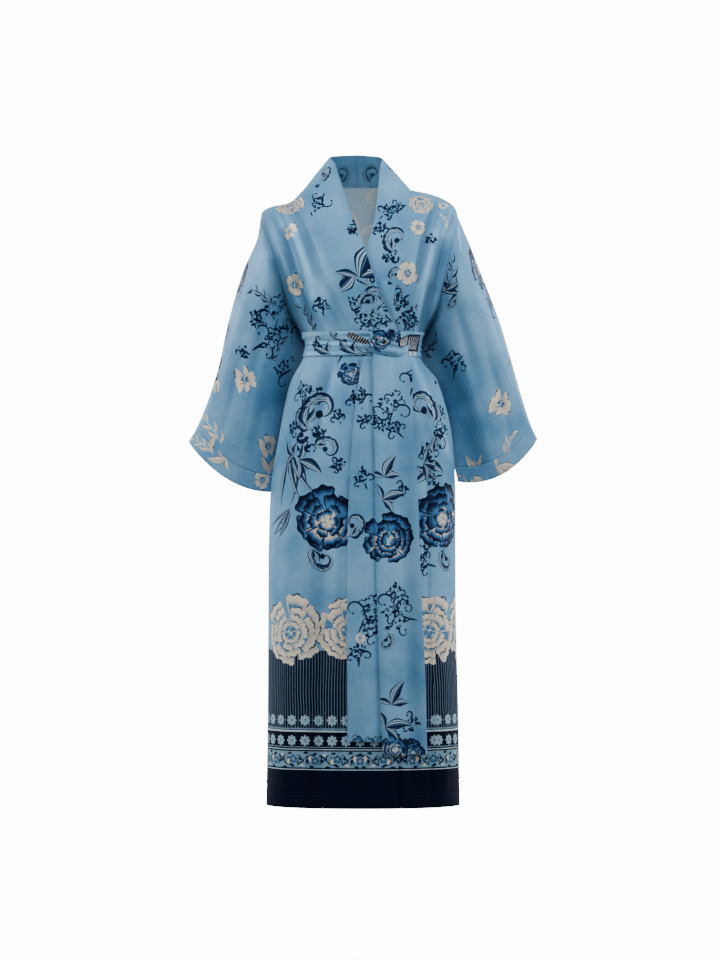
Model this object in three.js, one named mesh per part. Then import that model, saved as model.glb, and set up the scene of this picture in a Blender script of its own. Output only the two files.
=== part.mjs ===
// A long kimono robe as it is worn: wide sleeves hang, a sash ties the waist, the hem is open.
// Millimetres, +Z up, the front faces -Y, and -X is the side of the front that wraps on top.
// The origin is between the shoulders, where the wearer holds the robe up.
import * as THREE from "three";

// Cloth, seams and the levels that drive the shape
const clothWall = 2;
const cuffWall = 2.8; // the cuff is cloth turned up double
const sashWall = 2.4;
const seamGap = 0.3;
const chestHeight = -190;
const underarmHeight = -270;
const shoulderDepth = 8; // y of the shoulder seams
const edgeAngle = 0.35; // from the side to the armhole's edges at the chest, in radians
const armholeEase = 20; // how far past the underarm and the chest the armhole's edges curve
const underLap = 4; // how far the under front lies behind the top one
const lapStart = 3; // from the top band's free edge to where the under front starts to rise
const lapEnd = 16; // and to where it lies level with the top one
const sashClearance = 1;
const skirtLevels = [-1299, -1200, -1100, -1000, -900, -800, -700, -610, -540, -480, -430, -395, -365];
const sashLevels = [-338, -321, -304, -286];
const bustLevels = [underarmHeight, -250, -230, -210, chestHeight];
const levels = [...skirtLevels, ...sashLevels, ...bustLevels];
const yokeRows = 9; // rows from the chest up to the shoulder
const chestRow = levels.length - 1;
const topRow = chestRow + yokeRows;
const underarmRow = levels.indexOf(underarmHeight);
const frontColumns = 10;
const neckColumns = 8;
const backColumns = 2 * frontColumns + neckColumns;
const shoulderShare = 0.25; // share of the back's width below each shoulder
const bandColumns = 3;
const sleeveRows = 13;
const left = -1;
const right = 1;

// Body sections: reach to the left and right in the front view, depth to the front and back
const bodySections = [
  { z: -1299, left: 208, right: 208, front: 138, back: 142, power: 2.25 },
  { z: -1100, left: 205, right: 205, front: 134, back: 138, power: 2.25 },
  { z: -900, left: 204, right: 200, front: 130, back: 134, power: 2.25 },
  { z: -700, left: 202, right: 199, front: 127, back: 131, power: 2.25 },
  { z: -600, left: 196, right: 198, front: 124, back: 128, power: 2.2 },
  { z: -500, left: 179, right: 190, front: 118, back: 121, power: 2.2 },
  { z: -430, left: 166, right: 174, front: 112, back: 113, power: 2.2 },
  { z: -385, left: 153, right: 158, front: 107, back: 105, power: 2.2 },
  { z: -345, left: 131, right: 127, front: 101, back: 94, power: 2.2 },
  { z: -312, left: 122, right: 122, front: 98, back: 88, power: 2.2 },
  { z: -276, left: 137, right: 136, front: 108, back: 95, power: 2.2 },
  { z: -230, left: 166, right: 165, front: 120, back: 106, power: 2.25 },
  { z: -190, left: 186, right: 185, front: 127, back: 112, power: 2.3 },
];
// How far the side seam stands in front of the side, in radians
const sideSeams = {
  [left]: [
    { z: -1299, angle: 0 },
    { z: underarmHeight, angle: 0 },
  ],
  [right]: [
    { z: -1299, angle: 0.56 },
    { z: -615, angle: 0.55 },
    { z: -450, angle: 0.4 },
    { z: -338, angle: 0.1 },
    { z: underarmHeight, angle: 0 },
  ],
};
// The shoulder seam from the armhole (share 0) to the neck (share 1)
const shoulderSeams = {
  [left]: [
    { share: 0, x: -221, z: -42 },
    { share: 0.17, x: -216, z: -24 },
    { share: 0.35, x: -198, z: -14 },
    { share: 0.7, x: -157, z: -4 },
    { share: 1, x: -129, z: 22 },
  ],
  [right]: [
    { share: 0, x: 205, z: -38 },
    { share: 0.17, x: 200, z: -20 },
    { share: 0.35, x: 186, z: -5 },
    { share: 0.7, x: 149, z: 12 },
    { share: 1, x: 103, z: 22 },
  ],
};
// The back neck seam from the left shoulder to the right one
const backNeck = [
  { share: 0, x: -129, y: 8, z: 22 },
  { share: 0.25, x: -88, y: 56, z: 29 },
  { share: 0.5, x: -13, y: 74, z: 32 },
  { share: 0.75, x: 62, y: 56, z: 29 },
  { share: 1, x: 103, y: 8, z: 22 },
];
// Below the chest: x of the seam between a front and its band, x of the band's free edge,
// and how much higher than the seam the free edge lies
const bandLines = {
  [left]: [
    { z: -1299, seam: -6, free: 75, lift: 0 },
    { z: -600, seam: -7, free: 75, lift: 0 },
    { z: -338, seam: -8, free: 75, lift: 0 },
    { z: -286, seam: -13, free: 71, lift: 2 },
    { z: -236, seam: -32, free: 42, lift: 15 },
    { z: -190, seam: -50, free: 21, lift: 27 },
  ],
  [right]: [
    { z: -1299, seam: 8, free: -73, lift: 0 },
    { z: -600, seam: 14, free: -67, lift: 0 },
    { z: -430, seam: 32, free: -50, lift: 0 },
    { z: -338, seam: 52, free: -30, lift: 0 },
    { z: -286, seam: 60, free: -24, lift: 2 },
    { z: -236, seam: 63, free: -20, lift: 15 },
    { z: -190, seam: 69, free: -14, lift: 27 },
  ],
};
// The band's free edge from the chest (share 0) to the side of the neck (share 1)
const bandEdges = {
  [left]: [
    { share: 0, x: 21, y: -126, z: -163 },
    { share: 0.3, x: -2, y: -117, z: -95 },
    { share: 0.6, x: -27, y: -95, z: -28 },
    { share: 0.85, x: -50, y: -62, z: 42 },
    { share: 0.95, x: -61, y: -33, z: 78 },
    { share: 1, x: -73, y: 4, z: 92 },
  ],
  [right]: [
    { share: 0, x: -14, y: -120, z: -163 },
    { share: 0.3, x: 10, y: -111, z: -100 },
    { share: 0.6, x: 24, y: -92, z: -45 },
    { share: 0.85, x: 33, y: -61, z: 30 },
    { share: 0.95, x: 37, y: -32, z: 74 },
    { share: 1, x: 42, y: 4, z: 90 },
  ],
};
// The collar's top edge from the side of the neck (share 0) to the middle of the back (share 1)
const collarEdges = {
  [left]: [
    { share: 0, x: -73, y: 4, z: 92 },
    { share: 0.5, x: -56, y: 42, z: 98 },
    { share: 1, x: -14, y: 58, z: 101 },
  ],
  [right]: [
    { share: 0, x: 42, y: 4, z: 90 },
    { share: 0.5, x: 28, y: 42, z: 97 },
    { share: 1, x: -14, y: 58, z: 101 },
  ],
};
// Sleeve lines from the armhole (share 0) to the cuff's edge (share 1): the outer and inner lines
// and the middle of the front and back faces. The cuff starts at share cuffStart.
const cuffStart = 0.925;
const sleeveLines = {
  [left]: {
    outer: [
      { share: 0, x: -221, y: 8, z: -42 },
      { share: 0.1, x: -227, y: 9, z: -86 },
      { share: 0.25, x: -256, y: 11, z: -155 },
      { share: 0.45, x: -284, y: 14, z: -258 },
      { share: 0.65, x: -307, y: 17, z: -361 },
      { share: 0.8, x: -327, y: 19, z: -430 },
      { share: 0.925, x: -352, y: 20, z: -488 },
      { share: 1, x: -373, y: 20, z: -519 },
    ],
    front: [
      { share: 0, x: -185, y: -48, z: -165 },
      { share: 0.1, x: -202, y: -56, z: -200 },
      { share: 0.25, x: -221, y: -50, z: -262 },
      { share: 0.5, x: -244, y: -30, z: -380 },
      { share: 0.75, x: -262, y: -12, z: -480 },
      { share: 0.925, x: -278, y: -4, z: -566 },
      { share: 1, x: -288, y: -2, z: -603 },
    ],
    inner: [
      { share: 0, x: -140, y: 2, z: underarmHeight },
      { share: 0.05, x: -150, y: 30, z: -288 },
      { share: 0.1, x: -131, y: 52, z: -302 },
      { share: 0.2, x: -108, y: 70, z: -328 },
      { share: 0.4, x: -138, y: 77, z: -410 },
      { share: 0.7, x: -164, y: 79, z: -525 },
      { share: 0.925, x: -184, y: 68, z: -592 },
      { share: 1, x: -189, y: 62, z: -628 },
    ],
    back: [
      { share: 0, x: -183, y: 48, z: -165 },
      { share: 0.1, x: -202, y: 68, z: -200 },
      { share: 0.25, x: -216, y: 86, z: -262 },
      { share: 0.5, x: -240, y: 92, z: -385 },
      { share: 0.75, x: -260, y: 90, z: -480 },
      { share: 0.925, x: -274, y: 86, z: -563 },
      { share: 1, x: -283, y: 84, z: -600 },
    ],
  },
  [right]: {
    outer: [
      { share: 0, x: 205, y: 8, z: -38 },
      { share: 0.1, x: 222, y: 9, z: -84 },
      { share: 0.25, x: 247, y: 11, z: -155 },
      { share: 0.45, x: 284, y: 14, z: -258 },
      { share: 0.65, x: 316, y: 17, z: -361 },
      { share: 0.8, x: 338, y: 19, z: -430 },
      { share: 0.925, x: 359, y: 20, z: -484 },
      { share: 1, x: 375, y: 20, z: -514 },
    ],
    front: [
      { share: 0, x: 183, y: -48, z: -165 },
      { share: 0.1, x: 200, y: -56, z: -200 },
      { share: 0.25, x: 220, y: -50, z: -262 },
      { share: 0.5, x: 250, y: -30, z: -380 },
      { share: 0.75, x: 276, y: -12, z: -475 },
      { share: 0.925, x: 288, y: -4, z: -556 },
      { share: 1, x: 298, y: -2, z: -591 },
    ],
    inner: [
      { share: 0, x: 140, y: 2, z: underarmHeight },
      { share: 0.05, x: 150, y: 30, z: -288 },
      { share: 0.1, x: 131, y: 52, z: -302 },
      { share: 0.2, x: 108, y: 70, z: -328 },
      { share: 0.4, x: 142, y: 79, z: -410 },
      { share: 0.7, x: 171, y: 80, z: -512 },
      { share: 0.925, x: 197, y: 69, z: -573 },
      { share: 1, x: 205, y: 64, z: -606 },
    ],
    back: [
      { share: 0, x: 181, y: 48, z: -165 },
      { share: 0.1, x: 200, y: 68, z: -200 },
      { share: 0.25, x: 216, y: 86, z: -262 },
      { share: 0.5, x: 246, y: 92, z: -385 },
      { share: 0.75, x: 272, y: 90, z: -475 },
      { share: 0.925, x: 286, y: 86, z: -554 },
      { share: 1, x: 295, y: 84, z: -590 },
    ],
  },
};
// Folds of the body: x at the top and the bottom, half width, and height (below 0 is a trough)
const front = "front";
const back = "back";
const bodyFolds = [
  { face: front, top: -20, bottom: -300, topX: -165, bottomX: -66, width: 17, height: 9 },
  { face: front, top: -60, bottom: -290, topX: -128, bottomX: -44, width: 15, height: -5 },
  { face: front, top: -40, bottom: -300, topX: 182, bottomX: 92, width: 15, height: 8 },
  { face: front, top: -60, bottom: -300, topX: 200, bottomX: 118, width: 11, height: -6 },
  { face: front, top: -330, bottom: -620, topX: -104, bottomX: -160, width: 16, height: 6 },
  { face: front, top: -330, bottom: -560, topX: -76, bottomX: -112, width: 13, height: -4 },
  { face: front, top: -330, bottom: -500, topX: -48, bottomX: -66, width: 13, height: 4 },
  { face: front, top: -330, bottom: -700, topX: 100, bottomX: 186, width: 16, height: 7 },
  { face: front, top: -350, bottom: -1299, topX: 92, bottomX: 118, width: 20, height: -5 },
  { face: front, top: -600, bottom: -1310, topX: -150, bottomX: -168, width: 30, height: 6 },
  { face: front, top: -700, bottom: -1310, topX: -95, bottomX: -108, width: 26, height: -5 },
  { face: back, top: -330, bottom: -900, topX: -70, bottomX: -128, width: 24, height: 8 },
  { face: back, top: -330, bottom: -1310, topX: -22, bottomX: -52, width: 24, height: -7 },
  { face: back, top: -330, bottom: -1100, topX: 20, bottomX: 34, width: 24, height: 8 },
  { face: back, top: -330, bottom: -1310, topX: 66, bottomX: 118, width: 26, height: -7 },
  { face: back, top: -90, bottom: -300, topX: -110, bottomX: -52, width: 18, height: 6 },
  { face: back, top: -70, bottom: -300, topX: -8, bottomX: 2, width: 20, height: -5 },
  { face: back, top: -90, bottom: -300, topX: 104, bottomX: 56, width: 18, height: 6 },
];
const foldFade = 60; // length over which a fold rises at each end
// Folds of a sleeve: share where a fold starts and ends, its angle at each, half width and height
const sleeveFolds = [
  { start: 0.06, end: 0.75, startAngle: 1.1, endAngle: 0.8, width: 0.22, height: 7 },
  { start: 0.05, end: 0.6, startAngle: 1.75, endAngle: 1.5, width: 0.2, height: -7 },
  { start: 0.1, end: 0.9, startAngle: 2.4, endAngle: 2.2, width: 0.25, height: 7 },
  { start: 0.1, end: 0.8, startAngle: 4.0, endAngle: 4.2, width: 0.28, height: 7 },
  { start: 0.1, end: 0.7, startAngle: 4.9, endAngle: 4.9, width: 0.25, height: -7 },
];
// The knot where the sash crosses itself, and the two ends that hang from it
const knot = {
  left: 14,
  right: 92,
  top: -281,
  bottom: -354,
  columns: 8,
  rows: 8,
  rim: 5, // thickness at the edge
  rise: 17, // further thickness in the middle
  roundAcross: [0.12, 0.88], // shares of a half circle that the rise follows across
  roundUp: [0.22, 0.9], // and upwards
  creaseAt: 0.35,
  creaseSlant: 0.2,
  creaseWidth: 0.1,
  creaseDepth: 2.5,
};
const seatGap = 0.5; // between the knot and the wrap
const tailRows = 20;
const tailColumns = 6;
const overTail = {
  bottom: -1185,
  drop: [
    { z: -1185, left: 34, right: 133, lift: 8.5 },
    { z: -1002, left: 30, right: 126, lift: 8.5 },
    { z: -791, left: 26, right: 114, lift: 8.5 },
    { z: -602, left: 23, right: 107, lift: 9 },
    { z: -480, left: 19, right: 98, lift: 10 },
    { z: -410, left: 18, right: 95, lift: 12 },
    { z: -354, left: 17, right: 90, lift: 15 },
  ],
  waves: 1.5,
  waveHeight: 2.2,
};
const underTail = {
  bottom: -1157,
  drop: [
    { z: -1157, left: -32, right: 66, lift: 4 },
    { z: -774, left: -33, right: 64, lift: 4 },
    { z: -602, left: -28, right: 66, lift: 4.2 },
    { z: -480, left: -20, right: 70, lift: 4.6 },
    { z: -419, left: -13, right: 72, lift: 5 },
    { z: -354, left: 17, right: 76, lift: 5.5 },
  ],
  waves: 1,
  waveHeight: 1,
};

const vector = (x, y, z) => new THREE.Vector3(x, y, z);
const mix = THREE.MathUtils.lerp;
const clamp = THREE.MathUtils.clamp;

// A rise from 0 to 1 between two values, level at both ends
function ease(low, high, value) {
  const t = clamp((value - low) / (high - low), 0, 1);
  return t * t * (3 - 2 * t);
}

// One column of a table at a place along its rising key column, as a cubic through the rows
function along(rows, key, place, column) {
  const last = rows.length - 1;
  const at = clamp(place, rows[0][key], rows[last][key]);
  let i = 0;
  while (i < last - 1 && at > rows[i + 1][key]) i += 1;
  const slope = (a, b) => (rows[b][column] - rows[a][column]) / (rows[b][key] - rows[a][key]);
  const width = rows[i + 1][key] - rows[i][key];
  const t = (at - rows[i][key]) / width;
  const startSlope = slope(Math.max(i - 1, 0), i + 1) * width;
  const endSlope = slope(i, Math.min(i + 2, last)) * width;
  return hermite(rows[i][column], startSlope, rows[i + 1][column], endSlope, t);
}

// The cubic that leaves a start value and reaches an end value with the slopes given
function hermite(start, startSlope, end, endSlope, t) {
  const t2 = t * t;
  const t3 = t2 * t;
  const rise = 3 * t2 - 2 * t3;
  return start * (1 - rise) + end * rise + startSlope * (t3 - 2 * t2 + t) + endSlope * (t3 - t2);
}

function linePoint(rows, share) {
  return vector(
    along(rows, "share", share, "x"),
    along(rows, "share", share, "y"),
    along(rows, "share", share, "z"),
  );
}

// The height of the body's folds at a place in the front or back view
function foldHeight(face, x, z) {
  let height = 0;
  for (const fold of bodyFolds) {
    if (fold.face !== face) continue;
    const share = (fold.top - z) / (fold.top - fold.bottom);
    const offset = (x - mix(fold.topX, fold.bottomX, clamp(share, 0, 1))) / fold.width;
    const upper = 1 - ease(fold.top - foldFade, fold.top, z);
    const lower = ease(fold.bottom, fold.bottom + foldFade, z);
    height += fold.height * upper * lower * Math.exp(-offset * offset);
  }
  return height;
}

// A point of the body's section: angle 0 is the right side, a quarter turn is the front
function bodyPoint(angle, z, outward = 0) {
  const column = (name) => along(bodySections, "z", z, name);
  const half = (column("left") + column("right")) / 2;
  const centre = (column("right") - column("left")) / 2;
  const power = column("power");
  const cos = Math.cos(angle);
  const sin = Math.sin(angle);
  const face = sin >= 0 ? front : back;
  const depth = column(face);
  const sum = Math.abs(cos / half) ** power + Math.abs(sin / depth) ** power;
  const radius = sum ** (-1 / power);
  const fold = foldHeight(face, centre + radius * cos, z) * Math.min(1, Math.abs(sin) * 2);
  const reach = radius + outward + fold;
  return vector(centre + reach * cos, -reach * sin, z);
}

// The angle of the front's section at an x
function frontAngle(x, z) {
  let low = 0;
  let high = Math.PI;
  for (let step = 0; step < 30; step += 1) {
    const middle = (low + high) / 2;
    if (bodyPoint(middle, z).x > x) low = middle;
    else high = middle;
  }
  return (low + high) / 2;
}

// The angle between a side and the armhole's edge, or the side seam below the armhole
function openingAngle(z) {
  if (z <= underarmHeight) return 0;
  return edgeAngle * ease(underarmHeight - armholeEase, chestHeight + armholeEase, z);
}

const fromSide = (side, angle) => (side === right ? angle : Math.PI - angle);

// The under front and band lie behind the top band's free edge
const edgeSlant = 0.4; // how far the free edge leans outwards for each unit of its lift
function lapDepth(side, x, z) {
  if (side === left) return 0;
  const top = (name) => along(bandLines[left], "z", z, name);
  const edge = top("free") + edgeSlant * top("lift");
  return -underLap * (1 - ease(edge + lapStart, edge + lapEnd, x));
}

// A strand that leaves the chest upwards and reaches the shoulder or neck
function strand(low, lowSlope, high, highSlope, t) {
  return vector(
    hermite(low.x, lowSlope.x, high.x, highSlope.x, t),
    hermite(low.y, lowSlope.y, high.y, highSlope.y, t),
    hermite(low.z, lowSlope.z, high.z, highSlope.z, t),
  );
}

function shoulderPoint(side, share) {
  const rows = shoulderSeams[side];
  return vector(along(rows, "share", share, "x"), shoulderDepth, along(rows, "share", share, "z"));
}

const strandEase = 1.35; // how full a strand bulges on its way up
const chestSpan = 15; // height over which a strand's slope at the chest is measured
const foldsFadeFrom = 0.5; // share of a strand where the folds start to fade out
const foldsFadeTo = 0.9;

// Above the chest a panel's column is one strand, with the folds added along y
function yokePoint(chestAt, face, high, highWay, t) {
  const low = chestAt(chestHeight);
  const steepness = (strandEase * (high.z - low.z)) / chestSpan;
  const lowSlope = low.clone().sub(chestAt(chestHeight - chestSpan)).multiplyScalar(steepness);
  const highSlope = highWay.clone().multiplyScalar(strandEase * Math.abs(high.y - low.y));
  const point = strand(low, lowSlope, high, highSlope, t);
  const sign = face === front ? -1 : 1;
  const start = foldHeight(face, low.x, chestHeight) * (1 - ease(0, 1, t));
  const fold = foldHeight(face, point.x, point.z) * (1 - ease(foldsFadeFrom, foldsFadeTo, t));
  point.y += sign * (fold - start);
  return point;
}

// A front panel's point: share 0 at the side or armhole, 1 at the band's seam
function frontPoint(side, share, row) {
  const atLevel = (z) => {
    const seamX = along(bandLines[side], "z", z, "seam");
    const sideAngle = along(sideSeams[side], "z", z, "angle") + openingAngle(z);
    const angle = mix(fromSide(side, sideAngle), frontAngle(seamX, z), share);
    const x = bodyPoint(angle, z).x;
    return bodyPoint(angle, z, lapDepth(side, x, z));
  };
  if (row <= chestRow) return atLevel(levels[row]);
  const t = (row - chestRow) / yokeRows;
  return yokePoint(atLevel, front, shoulderPoint(side, share), vector(0, 1, 0), t);
}

// The back panel's point in a column, from the left side to the right one. Its strands reach the
// shoulder seams level and the neck seam on a rise.
const shoulderWay = vector(0, -1, 0);
const neckWay = vector(0, -0.5, 0.8);
function backPoint(column, row) {
  const fromRight = backColumns - column;
  let share = 0.5 + ((column - backColumns / 2) / neckColumns) * (1 - 2 * shoulderShare);
  if (column < frontColumns) share = (shoulderShare * column) / frontColumns;
  if (fromRight < frontColumns) share = 1 - (shoulderShare * fromRight) / frontColumns;
  const atLevel = (z) => {
    const seamAngle = (side) => along(sideSeams[side], "z", z, "angle") - openingAngle(z);
    const start = Math.PI - seamAngle(left);
    const end = 2 * Math.PI + seamAngle(right);
    return bodyPoint(mix(start, end, share), z);
  };
  if (row <= chestRow) return atLevel(levels[row]);
  const t = (row - chestRow) / yokeRows;
  let high = linePoint(backNeck, (column - frontColumns) / neckColumns);
  if (column < frontColumns) high = shoulderPoint(left, column / frontColumns);
  if (fromRight < frontColumns) high = shoulderPoint(right, fromRight / frontColumns);
  const onNeck = clamp(Math.min(column, fromRight) - frontColumns + 1, 0, 2) / 2;
  return yokePoint(atLevel, back, high, shoulderWay.clone().lerp(neckWay, onNeck), t);
}

// A neck band's point: share 0 at the seam, 1 at the free edge. Its rows follow the front's rows
// up to the shoulder and then run round the neck to the middle of the back.
const bandRows = topRow + neckColumns / 2;
const bandBulge = 4;
function bandPoint(side, share, row) {
  const bulge = bandBulge * Math.sin(Math.PI * share);
  if (row <= chestRow) {
    const z = levels[row];
    const column = (name) => along(bandLines[side], "z", z, name);
    const height = z + share * column("lift");
    const x = mix(column("seam"), column("free"), share);
    return bodyPoint(frontAngle(x, height), height, lapDepth(side, x, height));
  }
  if (row <= topRow) {
    const t = (row - chestRow) / yokeRows;
    const point = frontPoint(side, 1, row).lerp(linePoint(bandEdges[side], t), share);
    point.y -= bulge * ease(0, 0.5, t);
    return point;
  }
  const t = (row - topRow) / (bandRows - topRow);
  const seam = linePoint(backNeck, side === left ? t / 2 : 1 - t / 2);
  const point = seam.lerp(linePoint(collarEdges[side], t), share);
  point.y += bulge * Math.sin((Math.PI / 2) * (2 * t - 1));
  return point;
}

// The armhole's loop from the shoulder down the front edge and up the back edge
function armhole(side) {
  const backColumn = side === left ? 0 : backColumns;
  const loop = [];
  for (let row = topRow; row >= underarmRow; row -= 1) loop.push(frontPoint(side, 0, row));
  for (let row = underarmRow + 1; row < topRow; row += 1) loop.push(backPoint(backColumn, row));
  return loop;
}

// The smooth ring through a sleeve's four lines: angle 0 is the outer line, a quarter is the front
function sleeveRing(side, share, angle) {
  const lines = sleeveLines[side];
  const outer = linePoint(lines.outer, share);
  const fore = linePoint(lines.front, share);
  const inner = linePoint(lines.inner, share);
  const rear = linePoint(lines.back, share);
  const across = outer.clone().sub(inner).multiplyScalar(0.5);
  const depth = fore.clone().sub(rear).multiplyScalar(0.5);
  const spread = outer.clone().add(inner).sub(fore).sub(rear).multiplyScalar(0.25);
  const point = outer.add(inner).add(fore).add(rear).multiplyScalar(0.25);
  point.addScaledVector(across, Math.cos(angle)).addScaledVector(depth, Math.sin(angle));
  point.addScaledVector(spread, Math.cos(2 * angle));
  let fold = 0;
  for (const item of sleeveFolds) {
    const place = clamp((share - item.start) / (item.end - item.start), 0, 1);
    const offset = (angle - mix(item.startAngle, item.endAngle, place)) / item.width;
    fold += item.height * Math.sin(Math.PI * place) * Math.exp(-offset * offset);
  }
  return point.addScaledVector(depth.normalize(), fold * Math.sign(Math.sin(angle)));
}

// A sleeve's rings. The armhole's own shape fades out along the first part of the sleeve.
const armholeFade = 0.5;
function sleeveGrid(side, startShare, endShare, rows) {
  const loop = armhole(side);
  const half = topRow - underarmRow;
  const lengths = [0];
  for (let k = 1; k <= loop.length; k += 1) {
    lengths.push(lengths[k - 1] + loop[k % loop.length].distanceTo(loop[k - 1]));
  }
  const angleAt = (k) => {
    if (k <= half) return (Math.PI * lengths[k]) / lengths[half];
    return Math.PI * (1 + (lengths[k] - lengths[half]) / (lengths[loop.length] - lengths[half]));
  };
  return loop.map((start, k) => {
    const rest = start.clone().sub(sleeveRing(side, 0, angleAt(k)));
    const line = [];
    for (let row = 0; row <= rows; row += 1) {
      const share = mix(startShare, endShare, row / rows);
      const fade = 1 - ease(0, armholeFade, share);
      line.push(sleeveRing(side, share, angleAt(k)).addScaledVector(rest, fade));
    }
    return line;
  });
}

// Grids are lists of columns, each a list of points. A ring's last column joins its first.
function makeGrid(columns, rows, at) {
  return Array.from({ length: columns + 1 }, (_, i) =>
    Array.from({ length: rows + 1 }, (_, j) => at(i, j)));
}

// Each piece: its points on the outer face, its wall, and a point inside it at a given place
const axis = (point) => vector(-10, 4, point.z);
const pieces = [];
function addPiece(name, grid, wall, ring, inside) {
  pieces.push({ name, grid, wall, ring, inside });
}

addPiece("back", makeGrid(backColumns, topRow, backPoint), clothWall, false, axis);
for (const side of [left, right]) {
  const name = side === left ? "right" : "left"; // the wearer's right is the left of the front view
  const panel = makeGrid(frontColumns, topRow, (i, j) => frontPoint(side, i / frontColumns, j));
  const band = makeGrid(bandColumns, bandRows, (i, j) => bandPoint(side, i / bandColumns, j));
  addPiece(`front_${name}`, panel, clothWall, false, axis);
  addPiece(`neck_band_${name}`, band, clothWall, false, axis);
  const sleeve = sleeveGrid(side, 0, cuffStart, sleeveRows);
  const cuff = sleeveGrid(side, cuffStart, 1, 2);
  const middle = (ringGrid) => (point, j) => {
    const sum = vector(0, 0, 0);
    for (const column of ringGrid) sum.add(column[j]);
    return sum.multiplyScalar(1 / ringGrid.length);
  };
  addPiece(`sleeve_${name}`, sleeve, clothWall, true, middle(sleeve));
  addPiece(`cuff_${name}`, cuff, cuffWall, true, middle(cuff));
}

// The sash's wrap is a band round the waist with two crumples that run round it
const sashColumns = 48;
const crumples = [
  { row: 1, height: 2.2 },
  { row: 2, height: 1.2 },
];
function wrapLift(z) {
  const row = sashLevels.indexOf(z);
  const crumple = crumples.find((item) => item.row === row);
  return sashClearance + sashWall + (crumple ? crumple.height : 0);
}
const wrapGrid = makeGrid(sashColumns - 1, sashLevels.length - 1, (i, j) =>
  bodyPoint((2 * Math.PI * i) / sashColumns, sashLevels[j], wrapLift(sashLevels[j])));
addPiece("sash_wrap", wrapGrid, sashWall, true, axis);

// A point in front of the body by a given distance
function beforeBody(x, z, distance) {
  return bodyPoint(frontAngle(x, z), z, distance);
}

// A hanging end of the sash, from its bottom to the knot, with soft waves across it
function tailGrid(tail) {
  return makeGrid(tailColumns, tailRows, (i, j) => {
    const z = mix(tail.bottom, knot.bottom - seamGap, j / tailRows);
    const share = i / tailColumns;
    const x = mix(along(tail.drop, "z", z, "left"), along(tail.drop, "z", z, "right"), share);
    const wave = tail.waveHeight * (1 - Math.cos(2 * Math.PI * tail.waves * share)) / 2;
    return beforeBody(x, z, along(tail.drop, "z", z, "lift") + wave);
  });
}
addPiece("sash_tail_over", tailGrid(overTail), sashWall, false, axis);
addPiece("sash_tail_under", tailGrid(underTail), sashWall, false, axis);

const colours = {
  cloth: new THREE.MeshStandardMaterial({ color: "#86a9c6", roughness: 0.62, metalness: 0 }),
  cuff: new THREE.MeshStandardMaterial({ color: "#6f95b8", roughness: 0.62, metalness: 0 }),
};

// Unit normals of a grid's points, turned away from the inside
function gridNormals(piece) {
  const { grid, ring } = piece;
  const count = grid.length;
  const last = grid[0].length - 1;
  const columnAt = (i) => grid[ring ? (i + count) % count : clamp(i, 0, count - 1)];
  const at = (i, j) => columnAt(i)[clamp(j, 0, last)];
  let side = 0;
  const normals = grid.map((column, i) => column.map((point, j) => {
    const across = at(i + 1, j).clone().sub(at(i - 1, j));
    const up = at(i, j + 1).clone().sub(at(i, j - 1));
    const normal = across.cross(up).normalize();
    side += normal.dot(point.clone().sub(piece.inside(point, j)));
    return normal;
  }));
  if (side < 0) normals.flat().forEach((normal) => normal.negate());
  return normals;
}

// Where pieces meet at a seam their walls end on one shared direction, so they don't cross
const seamNormals = new Map();
const placeKey = (point) => point.toArray().map((value) => Math.round(value * 100)).join(" ");
for (const piece of pieces) {
  piece.normals = gridNormals(piece);
  piece.grid.forEach((column, i) => column.forEach((point, j) => {
    const key = placeKey(point);
    if (!seamNormals.has(key)) seamNormals.set(key, []);
    seamNormals.get(key).push(piece.normals[i][j]);
  }));
}
const seamEase = 0.04;
const sharpest = 0.85; // the least cosine that a shared direction is lengthened for
function inwardWall(point, wall) {
  const meeting = seamNormals.get(placeKey(point));
  const shared = meeting.reduce((sum, normal) => sum.add(normal), vector(0, 0, 0)).normalize();
  const least = Math.min(...meeting.map((normal) => normal.dot(shared)));
  return shared.multiplyScalar(-wall / Math.max(least, sharpest));
}

// A closed shell between an outer and an inner grid
function shellGeometry(outer, inner, ring) {
  const columns = outer.length;
  const rows = outer[0].length;
  const positions = [];
  for (const layer of [outer, inner]) {
    for (const column of layer) for (const point of column) positions.push(...point.toArray());
  }
  const id = (layer, i, j) => (layer * columns + (i % columns)) * rows + j;
  const faces = [];
  const quad = (a, b, c, d) => faces.push(a, b, c, a, c, d);
  const lastColumn = ring ? columns : columns - 1;
  for (let i = 0; i < lastColumn; i += 1) {
    for (let j = 0; j < rows - 1; j += 1) {
      quad(id(0, i, j), id(0, i + 1, j), id(0, i + 1, j + 1), id(0, i, j + 1));
      quad(id(1, i, j), id(1, i, j + 1), id(1, i + 1, j + 1), id(1, i + 1, j));
    }
    quad(id(0, i, 0), id(1, i, 0), id(1, i + 1, 0), id(0, i + 1, 0));
    quad(id(0, i, rows - 1), id(0, i + 1, rows - 1), id(1, i + 1, rows - 1), id(1, i, rows - 1));
  }
  if (!ring) {
    for (let j = 0; j < rows - 1; j += 1) {
      quad(id(0, 0, j), id(0, 0, j + 1), id(1, 0, j + 1), id(1, 0, j));
      const end = columns - 1;
      quad(id(0, end, j), id(1, end, j), id(1, end, j + 1), id(0, end, j + 1));
    }
  }
  const geometry = new THREE.BufferGeometry();
  geometry.setAttribute("position", new THREE.Float32BufferAttribute(positions, 3));
  if (signedVolume(positions, faces) < 0) faces.reverse();
  geometry.setIndex(faces);
  geometry.computeVertexNormals();
  return geometry;
}

function signedVolume(positions, faces) {
  let volume = 0;
  for (let k = 0; k < faces.length; k += 3) {
    const [a, b, c] = [0, 1, 2].map((corner) =>
      new THREE.Vector3().fromArray(positions, faces[k + corner] * 3));
    volume += a.dot(b.cross(c)) / 6;
  }
  return volume;
}

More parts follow.
